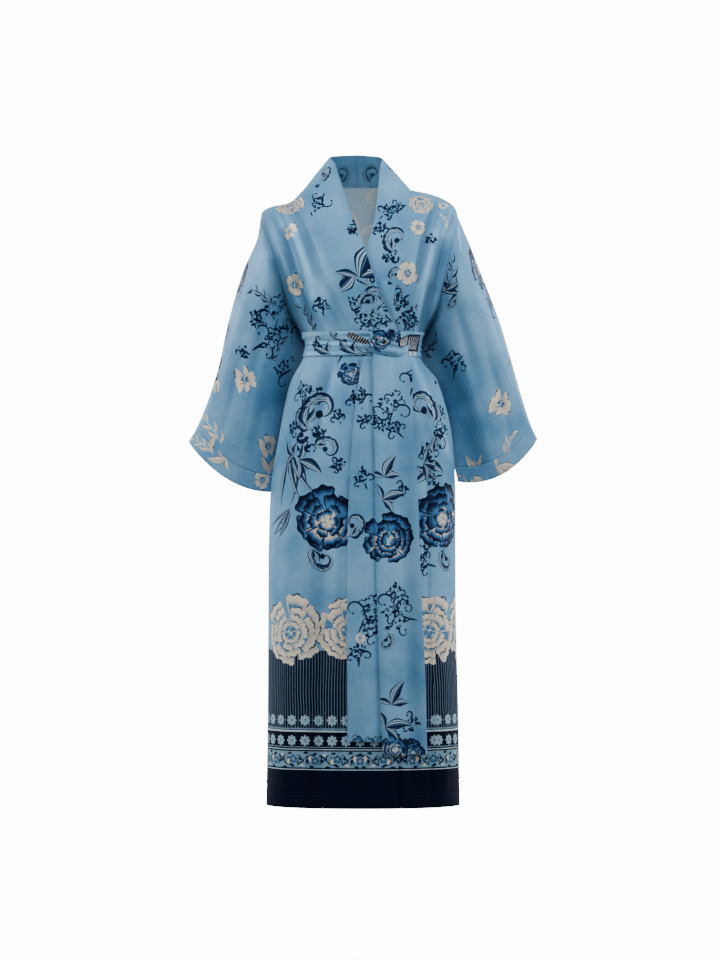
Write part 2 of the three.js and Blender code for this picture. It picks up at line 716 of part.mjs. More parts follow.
// The outer points step back from each edge by half a seam, and the inner ones follow the wall
function pieceGeometry(piece) {
  const { grid, ring, wall } = piece;
  const count = grid.length;
  const lastRow = grid[0].length - 1;
  const columnAt = (i) => grid[ring ? (i + count) % count : clamp(i, 0, count - 1)];
  const at = (i, j) => columnAt(i)[clamp(j, 0, lastRow)];
  const outer = grid.map((column, i) => column.map((point, j) => {
    const moved = point.clone();
    const upward = at(i, j + 1).clone().sub(at(i, j - 1)).normalize();
    const across = at(i + 1, j).clone().sub(at(i - 1, j)).normalize();
    const stepBack = (neighbour, edge) => {
      const way = neighbour.clone().sub(point);
      moved.add(way.addScaledVector(edge, -way.dot(edge)).setLength(seamGap / 2 + seamEase));
    };
    if (!ring && i === 0) stepBack(at(1, j), upward);
    if (!ring && i === count - 1) stepBack(at(i - 1, j), upward);
    if (j === 0) stepBack(at(i, 1), across);
    if (j === lastRow) stepBack(at(i, j - 1), across);
    return moved;
  }));
  const inner = grid.map((column, i) => column.map((point, j) =>
    outer[i][j].clone().add(inwardWall(point, wall))));
  return shellGeometry(outer, inner, ring);
}

// The knot is folded cloth: a rounded lump with a slanting crease, seated on the wrap
function knotGeometry() {
  const lift = sashClearance + sashWall + Math.max(...crumples.map((item) => item.height)) + seatGap;
  const under = (i, j) => {
    const x = mix(knot.left, knot.right, i / knot.columns);
    const z = mix(knot.bottom, knot.top, j / knot.rows);
    return beforeBody(x, z, lift);
  };
  const inner = makeGrid(knot.columns, knot.rows, under);
  const outer = makeGrid(knot.columns, knot.rows, (i, j) => {
    const u = i / knot.columns;
    const v = j / knot.rows;
    const across = Math.sin(Math.PI * mix(...knot.roundAcross, u));
    const round = across * Math.sin(Math.PI * mix(...knot.roundUp, v));
    const offset = (u - knot.creaseAt - knot.creaseSlant * v) / knot.creaseWidth;
    const crease = knot.creaseDepth * Math.exp(-offset * offset);
    const outward = vector(0.12, -1, 0).setLength(knot.rim + knot.rise * round - crease);
    return under(i, j).add(outward);
  });
  return shellGeometry(outer, inner, false);
}

function buildKimono() {
  const kimono = new THREE.Group();
  const add = (name, geometry, material) => {
    const mesh = new THREE.Mesh(geometry, material);
    mesh.name = name;
    kimono.add(mesh);
  };
  for (const piece of pieces) {
    const material = piece.name.startsWith("cuff") ? colours.cuff : colours.cloth;
    add(piece.name, pieceGeometry(piece), material);
  }
  add("sash_knot", knotGeometry(), colours.cloth);
  return kimono;
}

export default buildKimono();
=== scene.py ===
# A long printed kimono robe in worn form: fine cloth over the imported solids, a print drawn from
# formulas, plain soft studio light. Tables are in millimetres, as the garment was measured.
import math
import bmesh
import bpy
import numpy as np
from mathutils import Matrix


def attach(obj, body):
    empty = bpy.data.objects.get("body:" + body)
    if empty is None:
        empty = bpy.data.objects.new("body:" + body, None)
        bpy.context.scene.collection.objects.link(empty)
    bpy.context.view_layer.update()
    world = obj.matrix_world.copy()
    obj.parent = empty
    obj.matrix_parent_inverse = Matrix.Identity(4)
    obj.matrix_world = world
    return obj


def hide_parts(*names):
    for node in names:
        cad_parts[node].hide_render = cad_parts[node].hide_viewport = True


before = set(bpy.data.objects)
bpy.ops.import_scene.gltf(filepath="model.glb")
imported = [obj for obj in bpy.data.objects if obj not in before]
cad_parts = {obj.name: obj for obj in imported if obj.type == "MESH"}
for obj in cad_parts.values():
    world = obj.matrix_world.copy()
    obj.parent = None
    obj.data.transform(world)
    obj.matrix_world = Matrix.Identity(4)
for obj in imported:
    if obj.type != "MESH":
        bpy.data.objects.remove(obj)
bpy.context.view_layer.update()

mm = 0.001


# Tables and curves

def readTable(names, rows):
    # one array for each named column
    values = np.array(rows, dtype=float)
    return {name: values[:, k] for k, name in enumerate(names.split())}


def ease(low, high, value):
    # 0 below low, 1 above high, level at both ends
    t = np.clip((value - low) / (high - low), 0, 1)
    return t * t * (3 - 2 * t)


def hermite(start, startSlope, end, endSlope, t):
    # the cubic with these ends and slopes
    rise = 3 * t**2 - 2 * t**3
    return start * (1 - rise) + end * rise + startSlope * (t**3 - 2 * t**2 + t) + endSlope * (t**3 - t**2)


def along(table, key, place, column):
    # one column at a place along the rising key column, a cubic through the rows
    keys, values = table[key], table[column]
    last = len(keys) - 1
    at = np.clip(place, keys[0], keys[-1])
    i = np.clip(np.searchsorted(keys, at, side="left") - 1, 0, last - 1)
    before, after = np.maximum(i - 1, 0), np.minimum(i + 2, last)
    width = keys[i + 1] - keys[i]
    startSlope = (values[i + 1] - values[before]) / (keys[i + 1] - keys[before]) * width
    endSlope = (values[after] - values[i]) / (keys[after] - keys[i]) * width
    return hermite(values[i], startSlope, values[i + 1], endSlope, (at - keys[i]) / width)


def stack(x, y, z):
    # points from three arrays
    return np.stack(np.broadcast_arrays(x, y, z), axis=-1).astype(float)


def linePoint(table, share):
    # the point at a share of a line's table
    return stack(*(along(table, "share", share, name) for name in "xyz"))


def unit(vectors):
    # each vector over its own length
    return vectors / np.maximum(np.linalg.norm(vectors, axis=-1, keepdims=True), 1e-9)


# The garment's shape, from the same sizes as the solids

left, right = -1, 1
garment = {
    "wall": 1.0, "cuffWall": 1.6,  # mm of cloth that is drawn
    "chest": -190.0,
    "underarm": -270.0,
    "shoulderDepth": 8.0,
    "edgeAngle": 0.35,
    "underLap": 4.0,
    "strandEase": 1.35,
    "shoulderShare": 0.25,
    "step": 5.0,  # mm between the points of a surface
    "backWidth": 560, "frontWidth": 250, "bandWidth": 80,  # mm across, which set the number of columns
    "chestRows": 17, "yokeRows": 46, "collarRows": 24, "sleeveRows": 96, "cuffRows": 9,
}
bodySections = readTable("z left right front back power", [
    (-1299, 208, 208, 138, 142, 2.25), (-1100, 205, 205, 134, 138, 2.25),
    (-900, 204, 200, 130, 134, 2.25), (-700, 202, 199, 127, 131, 2.25),
    (-600, 196, 198, 124, 128, 2.2), (-500, 179, 190, 118, 121, 2.2),
    (-430, 166, 174, 112, 113, 2.2), (-385, 153, 158, 107, 105, 2.2),
    (-345, 131, 127, 101, 94, 2.2), (-312, 122, 122, 98, 88, 2.2),
    (-276, 137, 136, 108, 95, 2.2), (-230, 166, 165, 120, 106, 2.25),
    (-190, 186, 185, 127, 112, 2.3),
])
sideSeams = {
    left: readTable("z angle", [(-1299, 0), (-270, 0)]),
    right: readTable("z angle", [(-1299, 0.56), (-615, 0.55), (-450, 0.4), (-338, 0.1), (-270, 0)]),
}
shoulderSeams = {
    left: readTable("share x z", [
        (0, -221, -42), (0.17, -216, -24), (0.35, -198, -14), (0.7, -157, -4), (1, -129, 22)]),
    right: readTable("share x z", [
        (0, 205, -38), (0.17, 200, -20), (0.35, 186, -5), (0.7, 149, 12), (1, 103, 22)]),
}
backNeck = readTable("share x y z", [
    (0, -129, 8, 22), (0.25, -88, 56, 29), (0.5, -13, 74, 32), (0.75, 62, 56, 29), (1, 103, 8, 22)])
bandLines = {
    left: readTable("z seam free lift", [
        (-1299, -6, 75, 0), (-600, -7, 75, 0), (-338, -8, 75, 0),
        (-286, -13, 71, 2), (-236, -32, 42, 15), (-190, -50, 21, 27)]),
    right: readTable("z seam free lift", [
        (-1299, 8, -73, 0), (-600, 14, -67, 0), (-430, 32, -50, 0), (-338, 52, -30, 0),
        (-286, 60, -24, 2), (-236, 63, -20, 15), (-190, 69, -14, 27)]),
}
bandEdges = {
    left: readTable("share x y z", [
        (0, 21, -126, -163), (0.3, -2, -117, -95), (0.6, -27, -95, -28),
        (0.85, -50, -62, 42), (0.95, -61, -33, 78), (1, -73, 4, 92)]),
    right: readTable("share x y z", [
        (0, -14, -120, -163), (0.3, 10, -111, -100), (0.6, 24, -92, -45),
        (0.85, 33, -61, 30), (0.95, 37, -32, 74), (1, 42, 4, 90)]),
}
collarEdges = {
    left: readTable("share x y z", [(0, -73, 4, 92), (0.5, -56, 42, 98), (1, -14, 58, 101)]),
    right: readTable("share x y z", [(0, 42, 4, 90), (0.5, 28, 42, 97), (1, -14, 58, 101)]),
}
# folds of the body: where each runs in the front or back view, half width, height (below 0 sinks)
foldNames = "top bottom topX bottomX width height"
bodyFolds = {
    "front": readTable(foldNames, [
        (-20, -300, -165, -66, 17, 9), (-60, -290, -128, -44, 15, -5),
        (-40, -300, 182, 92, 15, 8), (-60, -300, 200, 118, 11, -6),
        (-330, -620, -104, -160, 16, 6), (-330, -560, -76, -112, 13, -4),
        (-330, -500, -48, -66, 13, 4), (-330, -700, 100, 186, 16, 7),
        (-350, -1299, 92, 118, 20, -5), (-600, -1310, -150, -168, 30, 6),
        (-700, -1310, -95, -108, 26, -5),
    ]),
    "back": readTable(foldNames, [
        (-330, -900, -70, -128, 24, 8), (-330, -1310, -22, -52, 24, -7),
        (-330, -1100, 20, 34, 24, 8), (-330, -1310, 66, 118, 26, -7),
        (-90, -300, -110, -52, 18, 6), (-70, -300, -8, 2, 20, -5), (-90, -300, 104, 56, 18, 6),
    ]),
}
# finer creases that only the drawn cloth has
fineFolds = {
    "front": readTable(foldNames, [
        (-80, -300, -190, -112, 7, 3.5), (-120, -300, -150, -84, 6, 2.5), (-180, -300, -92, -30, 6, 2),
        (-200, -300, 30, 40, 7, 1.5), (-150, -300, 130, 86, 6, 2.5), (-110, -300, 160, 104, 6, -2.5),
        (-335, -440, -120, -139, 5, 3), (-335, -470, -92, -128, 6, 2.5), (-335, -430, -62, -84, 6, -2),
        (-335, -420, -30, -38, 5, 2), (-335, -520, 108, 150, 6, -3), (-335, -470, 92, 112, 6, 2.5),
        (-480, -1310, -190, -196, 12, 2.5), (-640, -1310, -48, -56, 14, -2), (-560, -1310, 140, 146, 8, -2.5),
        (-700, -1310, 170, 176, 12, 2.5), (-800, -1310, -130, -138, 10, 2),
    ]),
    "back": readTable(foldNames, [
        (-335, -600, -100, -150, 8, 3), (-335, -700, -46, -80, 8, -3), (-335, -560, 0, 6, 8, 3),
        (-335, -640, 44, 76, 9, 3), (-335, -560, 92, 140, 8, -3), (-120, -300, -70, -30, 7, 2.5),
        (-120, -300, 60, 28, 7, 2.5), (-600, -1310, 150, 156, 12, 3), (-600, -1310, -150, -160, 12, 3),
    ]),
}


def foldHeight(face, x, z):
    # sum of ridges, each a bell across its line that fades in and out along it
    height = np.zeros(np.broadcast(x, z).shape)
    for folds in (bodyFolds[face], fineFolds[face]):
        for top, bottom, topX, bottomX, width, rise in zip(*(folds[n] for n in foldNames.split())):
            share = np.clip((top - z) / (top - bottom), 0, 1)
            offset = (x - (topX + (bottomX - topX) * share)) / width
            fade = (1 - ease(top - 60, top, z)) * ease(bottom, bottom + 60, z)
            height += rise * fade * np.exp(-offset**2)
    return height


def bodyPoint(angle, z, outward=0.0):
    # superellipse section: angle 0 is the right side, a quarter turn is the front; folds fade at the sides
    angle, z = np.broadcast_arrays(angle, z)
    column = {n: along(bodySections, "z", z, n) for n in ("left", "right", "front", "back", "power")}
    half = (column["left"] + column["right"]) / 2
    centre = (column["right"] - column["left"]) / 2
    cos, sin = np.cos(angle), np.sin(angle)
    depth = np.where(sin >= 0, column["front"], column["back"])
    power = column["power"]
    radius = (np.abs(cos / half) ** power + np.abs(sin / depth) ** power) ** (-1 / power)
    x = centre + radius * cos
    fold = np.where(sin >= 0, foldHeight("front", x, z), foldHeight("back", x, z))
    reach = radius + outward + fold * np.minimum(1, np.abs(sin) * 2)
    return stack(centre + reach * cos, -reach * sin, z)


def frontAngle(x, z):
    # the angle at which the section reaches an x, by halving the front 18 times
    x, z = np.broadcast_arrays(x, z)
    low, high = np.zeros(x.shape), np.full(x.shape, math.pi)
    for _ in range(18):
        middle = (low + high) / 2
        above = bodyPoint(middle, z)[..., 0] > x
        low, high = np.where(above, middle, low), np.where(above, high, middle)
    return (low + high) / 2


def openingAngle(z):
    # the side seam parts above the underarm, to leave room for the sleeve
    parting = ease(garment["underarm"] - 20, garment["chest"] + 20, z)
    return garment["edgeAngle"] * parting * (z > garment["underarm"])


def fromSide(side, angle):
    # an angle from the right side, mirrored for the left one
    return angle if side == right else math.pi - angle


def lapDepth(side, x, z):
    # the front beneath sinks where the other front's free edge comes to lie over it
    if side == left:
        return np.zeros(np.broadcast(x, z).shape)
    edge = along(bandLines[left], "z", z, "free") + 0.4 * along(bandLines[left], "z", z, "lift")
    return -garment["underLap"] * (1 - ease(edge + 3, edge + 16, x))


def shoulderPoint(side, share):
    # a point of the shoulder seam, from the sleeve to the neck
    x, z = (along(shoulderSeams[side], "share", share, name) for name in "xz")
    return stack(x, garment["shoulderDepth"], z)


def yokePoints(chestAt, face, high, way, t):
    # strands from the chest to the shoulder or neck: cubics that leave upwards and arrive level
    chest = garment["chest"]
    low, below = chestAt(chest), chestAt(chest - 15)
    rise = (high[..., 2:3] - low[..., 2:3]) * garment["strandEase"] / 15
    highSlope = way * garment["strandEase"] * np.abs(high[..., 1:2] - low[..., 1:2])
    t = t[None, :, None]
    point = hermite(low[:, None], ((low - below) * rise)[:, None], high[:, None], highSlope[:, None], t)
    sign = -1 if face == "front" else 1
    start = foldHeight(face, low[:, 0], chest)[:, None] * (1 - ease(0, 1, t[..., 0]))
    fold = foldHeight(face, point[..., 0], point[..., 2]) * (1 - ease(0.5, 0.9, t[..., 0]))
    point[..., 1] += sign * (fold - start)
    return point


levels = np.concatenate([
    np.arange(-1299, garment["underarm"], garment["step"]),
    np.linspace(garment["underarm"], garment["chest"], garment["chestRows"])])
underarmRow = len(levels) - garment["chestRows"]
yokeShares = np.linspace(0, 1, garment["yokeRows"] + 1)[1:]


def frontPoints(side, shares):
    # share 0 is the side or armhole, 1 the band's seam; rows run from the hem to the shoulder
    def atLevel(z):
        seamX = along(bandLines[side], "z", z, "seam")
        sideAngle = fromSide(side, along(sideSeams[side], "z", z, "angle") + openingAngle(z))
        angle = sideAngle + (frontAngle(seamX, z) - sideAngle) * shares.reshape((-1,) + (1,) * np.ndim(z))
        x = bodyPoint(angle, z)[..., 0]
        return bodyPoint(angle, z, lapDepth(side, x, z))
    yoke = yokePoints(atLevel, "front", shoulderPoint(side, shares), np.array([0, 1, 0]), yokeShares)
    return np.concatenate([atLevel(levels), yoke], axis=1)


def backPoints(shares):
    # share 0 is the left of the front view, 1 the right; the middle half ends on the neck seam
    corner = garment["shoulderShare"]

    def atLevel(z):
        start = math.pi - (along(sideSeams[left], "z", z, "angle") - openingAngle(z))
        end = 2 * math.pi + along(sideSeams[right], "z", z, "angle") - openingAngle(z)
        return bodyPoint(start + (end - start) * shares.reshape((-1,) + (1,) * np.ndim(z)), z)
    fromEdge = np.minimum(shares, 1 - shares)
    onNeck = fromEdge > corner
    high = np.where(onNeck[:, None], linePoint(backNeck, (shares - corner) / (1 - 2 * corner)),
                    np.where((shares < 0.5)[:, None], shoulderPoint(left, shares / corner),
                             shoulderPoint(right, (1 - shares) / corner)))
    blend = ease(corner, corner + 0.12, fromEdge)
    way = stack(0, -1 + 0.5 * blend, 0.8 * blend)
    yoke = yokePoints(atLevel, "back", high, way, yokeShares)
    return np.concatenate([atLevel(levels), yoke], axis=1)


def bandPoints(side, shares):
    # share 0 is the seam, 1 the free edge; rows run up the front and round to the back of the neck
    bulge = 4 * np.sin(math.pi * shares)[:, None]
    column = {n: along(bandLines[side], "z", levels, n) for n in ("seam", "free", "lift")}
    height = levels + shares[:, None] * column["lift"]
    x = column["seam"] + shares[:, None] * (column["free"] - column["seam"])
    low = bodyPoint(frontAngle(x, height), height, lapDepth(side, x, height))
    seam = frontPoints(side, np.array([1.0]))[:, len(levels):]
    edge = linePoint(bandEdges[side], yokeShares)[None]
    front = seam + (edge - seam) * shares[:, None, None]
    front[..., 1] -= bulge * ease(0, 0.5, yokeShares)
    t = np.linspace(0, 1, garment["collarRows"] + 1)[1:]
    neck = linePoint(backNeck, t / 2 if side == left else 1 - t / 2)[None]
    collar = neck + (linePoint(collarEdges[side], t)[None] - neck) * shares[:, None, None]
    collar[..., 1] += bulge * np.sin(math.pi / 2 * (2 * t - 1))
    return np.concatenate([low, front, collar], axis=1)


def armhole(side):
    # from the shoulder down the front edge and up the back edge
    front = frontPoints(side, np.array([0.0]))[0, underarmRow:][::-1]
    back = backPoints(np.array([0.0 if side == left else 1.0]))[0, underarmRow:]
    return np.concatenate([front, back[1:-1]]), len(front) - 1


cuffStart = 0.925
lineNames = "share x y z"
sleeveLines = {
    left: {
        "outer": readTable(lineNames, [
            (0, -221, 8, -42), (0.1, -229, 9, -86), (0.25, -259, 11, -155), (0.45, -289, 14, -258),
            (0.65, -312, 17, -361), (0.8, -334, 19, -430), (0.925, -358, 20, -488), (1, -376, 20, -519)]),
        "front": readTable(lineNames, [
            (0, -185, -48, -165), (0.1, -202, -56, -200), (0.25, -221, -50, -262), (0.5, -244, -30, -380),
            (0.75, -262, -12, -480), (0.925, -278, -4, -566), (1, -288, -2, -603)]),
        "inner": readTable(lineNames, [
            (0, -138, 2, -270), (0.05, -129, 28, -287), (0.1, -121, 48, -301), (0.2, -108, 70, -328),
            (0.4, -138, 77, -410), (0.7, -164, 79, -525), (0.925, -184, 68, -592), (1, -189, 62, -628)]),
        "back": readTable(lineNames, [
            (0, -183, 48, -165), (0.1, -202, 68, -200), (0.25, -216, 86, -262), (0.5, -240, 92, -385),
            (0.75, -260, 90, -480), (0.925, -274, 86, -563), (1, -283, 84, -600)]),
    },
    right: {
        "outer": readTable(lineNames, [
            (0, 205, 8, -38), (0.1, 225, 9, -84), (0.25, 253, 11, -155), (0.45, 293, 14, -258),
            (0.65, 324, 17, -361), (0.8, 344, 19, -430), (0.925, 362, 20, -484), (1, 376, 20, -514)]),
        "front": readTable(lineNames, [
            (0, 183, -48, -165), (0.1, 200, -56, -200), (0.25, 220, -50, -262), (0.5, 250, -30, -380),
            (0.75, 276, -12, -475), (0.925, 288, -4, -556), (1, 298, -2, -591)]),
        "inner": readTable(lineNames, [
            (0, 138, 2, -270), (0.05, 129, 28, -287), (0.1, 121, 48, -301), (0.2, 108, 70, -328),
            (0.4, 142, 79, -410), (0.7, 171, 80, -512), (0.925, 197, 69, -573), (1, 205, 64, -606)]),
        "back": readTable(lineNames, [
            (0, 181, 48, -165), (0.1, 200, 68, -200), (0.25, 216, 86, -262), (0.5, 246, 92, -385),
            (0.75, 272, 90, -475), (0.925, 286, 86, -554), (1, 295, 84, -590)]),
    },
}
sleeveFolds = readTable("start end startAngle endAngle width height", [
    (0.06, 0.75, 1.1, 0.8, 0.22, 7), (0.05, 0.6, 1.75, 1.5, 0.2, -7), (0.1, 0.9, 2.4, 2.2, 0.25, 7),
    (0.1, 0.8, 4.0, 4.2, 0.28, 7), (0.1, 0.7, 4.9, 4.9, 0.25, -7),
    (0.15, 0.95, 0.55, 0.45, 0.1, 2.5), (0.3, 1.0, 1.25, 1.1, 0.12, -2.5), (0.2, 1.0, 1.9, 1.75, 0.1, 3),
    (0.35, 1.0, 2.6, 2.55, 0.12, -3), (0.2, 1.0, 3.8, 3.7, 0.12, 3), (0.2, 1.0, 5.3, 5.4, 0.12, 3)])


def sleeveRing(side, share, angle):
    # the smooth ring through four lines: its centre, two half axes and a spread at twice the angle
    lines = {name: linePoint(table, share) for name, table in sleeveLines[side].items()}
    outer, inner, front, back = (lines[n] for n in ("outer", "inner", "front", "back"))
    depth = (front - back) / 2
    point = (outer + inner + front + back) / 4 + (outer - inner) / 2 * np.cos(angle)[..., None]
    point = point + depth * np.sin(angle)[..., None]
    point = point + (outer + inner - front - back) / 4 * np.cos(2 * angle)[..., None]
    fold = np.zeros(np.broadcast(share, angle).shape)
    for start, end, startAngle, endAngle, width, height in zip(*sleeveFolds.values()):
        place = np.clip((share - start) / (end - start), 0, 1)
        offset = (angle - (startAngle + (endAngle - startAngle) * place)) / width
        fold += height * np.sin(math.pi * place) * np.exp(-offset**2)
    return point + unit(depth) * (fold * np.sign(np.sin(angle)))[..., None]


def sleevePoints(side, start, end, rows):
    # the armhole's own loop fades into the ring along the first half
    loop, half = armhole(side)
    lengths = np.concatenate([[0], np.cumsum(np.linalg.norm(np.roll(loop, -1, axis=0) - loop, axis=1))])
    k = np.arange(len(loop))
    front = math.pi * lengths[k] / lengths[half]
    back = math.pi * (1 + (lengths[k] - lengths[half]) / (lengths[-1] - lengths[half]))
    angle = np.where(k <= half, front, back)[:, None]
    share = np.linspace(start, end, rows)[None]
    rest = loop - sleeveRing(side, np.zeros(len(loop)), angle[:, 0])
    fade = 1 - ease(0, 0.5, share)
    return sleeveRing(side, share + 0 * angle, angle + 0 * share) + rest[:, None] * fade[..., None]


def beforeBody(x, z, distance):
    # the point in front of the body at x and z, this far out from it
    return bodyPoint(frontAngle(x, z), z, distance)


# Surfaces: an outer grid, its distances in the cloth, and a closed wall behind it

def gridNormals(grid, ring, inside):
    # the cross product of the two ways along the grid, turned away from the inside
    if ring:
        across = np.roll(grid, -1, axis=0) - np.roll(grid, 1, axis=0)
    else:
        across = np.gradient(grid, axis=0)
    normals = unit(np.cross(across, np.gradient(grid, axis=1)))
    return -normals if np.sum(normals * (grid - inside)) < 0 else normals


def clothDistances(grid, ring, uStart):
    # u is the length across each row, v the length up each column
    closed = np.concatenate([grid, grid[:1]]) if ring else grid
    stepU = np.linalg.norm(np.diff(closed, axis=0), axis=2)
    stepV = np.linalg.norm(np.diff(closed, axis=1), axis=2)
    u = np.concatenate([np.zeros((1, closed.shape[1])), np.cumsum(stepU, axis=0)])
    v = np.concatenate([np.zeros((closed.shape[0], 1)), np.cumsum(stepV, axis=1)], axis=1)
    return np.stack([u - u[-1:] * uStart, v], axis=-1)


pieces = {}


def addSurface(name, grid, ring=False, inside=None, uStart=0.0, wall=None, border=False):
    # inside: a point or an array of points that the outer face looks away from
    if inside is None:
        inside = stack(-10, 4, grid[..., 2])
    pieces[name] = {
        "grid": grid, "ring": ring, "border": border,
        "normals": gridNormals(grid, ring, inside),
        "uv": clothDistances(grid, ring, uStart) + (0, 0 if border else 1000),  # 1 m up is clear of the hem's border
        "wall": wall or garment["wall"],
    }


def meanRing(grid):
    # the middle of each ring, once for each of its points
    return np.broadcast_to(grid.mean(axis=0, keepdims=True), grid.shape)


def crossShares(width):
    # even steps, with close ones at both edges for the sewn seam
    close = np.array([0.9, 2.4]) / width
    even = np.linspace(0, 1, int(width / garment["step"]) + 1)
    return np.sort(np.concatenate([even, close, 1 - close]))


addSurface("back", backPoints(crossShares(garment["backWidth"])), uStart=0.5, border=True)
for side, name in ((left, "right"), (right, "left")):
    addSurface("front_" + name, frontPoints(side, crossShares(garment["frontWidth"]))[::-1], border=True)
    addSurface("neck_band_" + name, bandPoints(side, crossShares(garment["bandWidth"])), border=True)
    sleeve = sleevePoints(side, 0, cuffStart, garment["sleeveRows"])
    addSurface("sleeve_" + name, sleeve, ring=True, inside=meanRing(sleeve))
    cuff = sleevePoints(side, cuffStart, 1, garment["cuffRows"])
    addSurface("cuff_" + name, cuff, ring=True, inside=meanRing(cuff), wall=garment["cuffWall"])
print("panels, bands and sleeves worked out")

# The sash: a crumpled wrap, a knot and two hanging ends
sash = {
    "bottom": -338.0, "top": -286.0, "lift": 3.4, "edge": 1.2, "edgeWidth": 4, "columns": 160, "rows": 27,
    "creases": readTable("height slant width rise", [
        (-331, 0.05, 2.5, 1.6), (-324, -0.03, 2.2, -2.4), (-317, 0.04, 3, 2.4), (-311, -0.03, 2.2, -2.4),
        (-304, -0.05, 2.6, 2.6), (-298, 0.03, 2.2, -2.2), (-291, 0.02, 2.6, 2.0)]),
}


def wrapPoints():
    # a belt off the body by lift, with waving creases round it, each a bell across its line, and thin edges
    angle = np.linspace(0, 2 * math.pi, sash["columns"] + 1)[:-1][:, None]
    z = np.linspace(sash["bottom"], sash["top"], sash["rows"])[None]
    lift = np.full(np.broadcast(angle, z).shape, sash["lift"])
    x = bodyPoint(angle, z)[..., 0]
    for height, slant, width, rise in zip(*sash["creases"].values()):
        line = height + slant * x + 2 * np.sin(2 * angle + height)
        lift += rise * np.exp(-((z - line) / width) ** 2) * (0.6 + 0.4 * np.sin(3 * angle + height))
    edge = np.minimum(z - sash["bottom"], sash["top"] - z)
    return bodyPoint(angle, z, lift - sash["edge"] * np.exp(-(edge / sash["edgeWidth"]) ** 2))


tailColumns, tailRows = 21, 174
tails = {
    "over": {
        "bottom": -1185, "top": -332, "waves": 1.5, "waveHeight": 2.6,
        "drop": readTable("z left right lift", [
            (-1185, 39, 128, 8.5), (-1002, 32, 123, 8.5), (-791, 26, 114, 8.5), (-602, 23, 107, 9),
            (-480, 19, 98, 10), (-410, 18, 95, 12), (-354, 17, 90, 14), (-332, 20, 84, 13)]),
    },
    "under": {
        "bottom": -1157, "top": -339.5, "waves": 1, "waveHeight": 1.4,
        "drop": readTable("z left right lift", [
            (-1157, -32, 66, 4), (-774, -33, 64, 4), (-602, -28, 66, 4.2), (-480, -20, 70, 4.6),
            (-419, -13, 72, 5), (-370, -5, 75, 5.2), (-339.5, 2, 76, 5.2)]),
    },
}
knot = {
    "left": 12, "right": 93, "top": -281, "bottom": -340, "base": 5.7, "rise": 20, "columns": 41, "rows": 37,
    # folds across it: height at the left edge, fall to the right edge, half width (shares), depth in mm
    "creases": readTable("height fall width depth", [
        (1.0, 0.22, 0.04, 3.5), (0.84, 0.4, 0.035, 3), (0.6, 0.36, 0.05, 4), (0.4, 0.16, 0.04, 3)]),
}


def tailPoints(tail):
    # a strip between its left and right edge, off the body by lift and by waves across its width
    z = np.linspace(tail["bottom"], tail["top"], tailRows)[None]
    share = np.linspace(0, 1, tailColumns)[:, None]
    drop = {n: along(tail["drop"], "z", z, n) for n in ("left", "right", "lift")}
    x = drop["left"] + (drop["right"] - drop["left"]) * share
    wave = tail["waveHeight"] * (1 - np.cos(2 * math.pi * tail["waves"] * share)) / 2
    return beforeBody(x, z, drop["lift"] + wave)


addSurface("sash_wrap", wrapPoints(), ring=True)
addSurface("sash_tail_over", tailPoints(tails["over"]))
addSurface("sash_tail_under", tailPoints(tails["under"]))


def knotPoints():
    # half an egg over the belt and the tops of the hanging ends, scored by slanting folds
    u = np.linspace(0, 1, knot["columns"])[:, None]
    v = np.linspace(0, 1, knot["rows"])[None]
    side, level = 2 * u - 1, 2 * v - 1
    x = (knot["left"] + knot["right"]) / 2 + side * (knot["right"] - knot["left"]) / 2 * (1 - 0.1 * level**2)
    middle = (knot["top"] + knot["bottom"]) / 2 - 3 * side
    z = middle + level * (knot["top"] - knot["bottom"]) / 2 * (1 - 0.24 * side**2)
    height = knot["rise"] * np.sqrt((1 - 0.9 * side**4) * (1 - 0.8 * level**4))
    for start, fall, width, depth in zip(*knot["creases"].values()):
        height -= depth * (1 - side**2) * np.exp(-((v - start + fall * u) / width) ** 2)
    return beforeBody(x, z, knot["base"]) + unit(np.array([0.05, -1, 0])) * height[..., None]


addSurface("sash_knot", knotPoints(), wall=3.0)
print("sash worked out")

# The print: every motif is a list of strokes in millimetres, the top one first. A stroke is a line
# with a half width and a profile, which the cloth's shader fills in.

petalTones = ["darkPetal", "nightPetal", "creamPetal", "blossomPetal"]
lineTones = ["navyLeaf", "creamLeaf", "navy", "pale"]
tones = {name: k for k, name in enumerate(petalTones + lineTones)}


def stroke(points, width, tone, rise=0.5, fall=0.5, power=0.5):
    # rise and fall are the shares of the length over which the width grows and shrinks
    return {"points": np.asarray(points, dtype=float), "width": width, "tone": tones[tone],
            "profile": (rise, fall, power)}


def bend(start, heading, length, turn, bias=1.0, steps=10):
    # a path whose heading turns by the given angle; a bias above 1 turns mostly near its end
    t = np.linspace(0, 1, steps + 1)
    middle = (t[1:] + t[:-1]) / 2
    angle = heading + turn * middle**bias
    moves = np.stack([np.cos(angle), np.sin(angle)], axis=1) * length / steps
    return np.concatenate([[start], start + np.cumsum(moves, axis=0)])


def dot(centre, radius, tone):
    # a ball: a line as long as it is wide
    return stroke([np.add(centre, (0, -radius)), np.add(centre, (0, radius))], radius, tone)


def leaf(start, heading, length, width, tone, turn):
    # pointed at both ends, bent by turn
    return stroke(bend(np.asarray(start, dtype=float), heading, length, turn, steps=7), width, tone, 0.5, 0.6, 0.75)


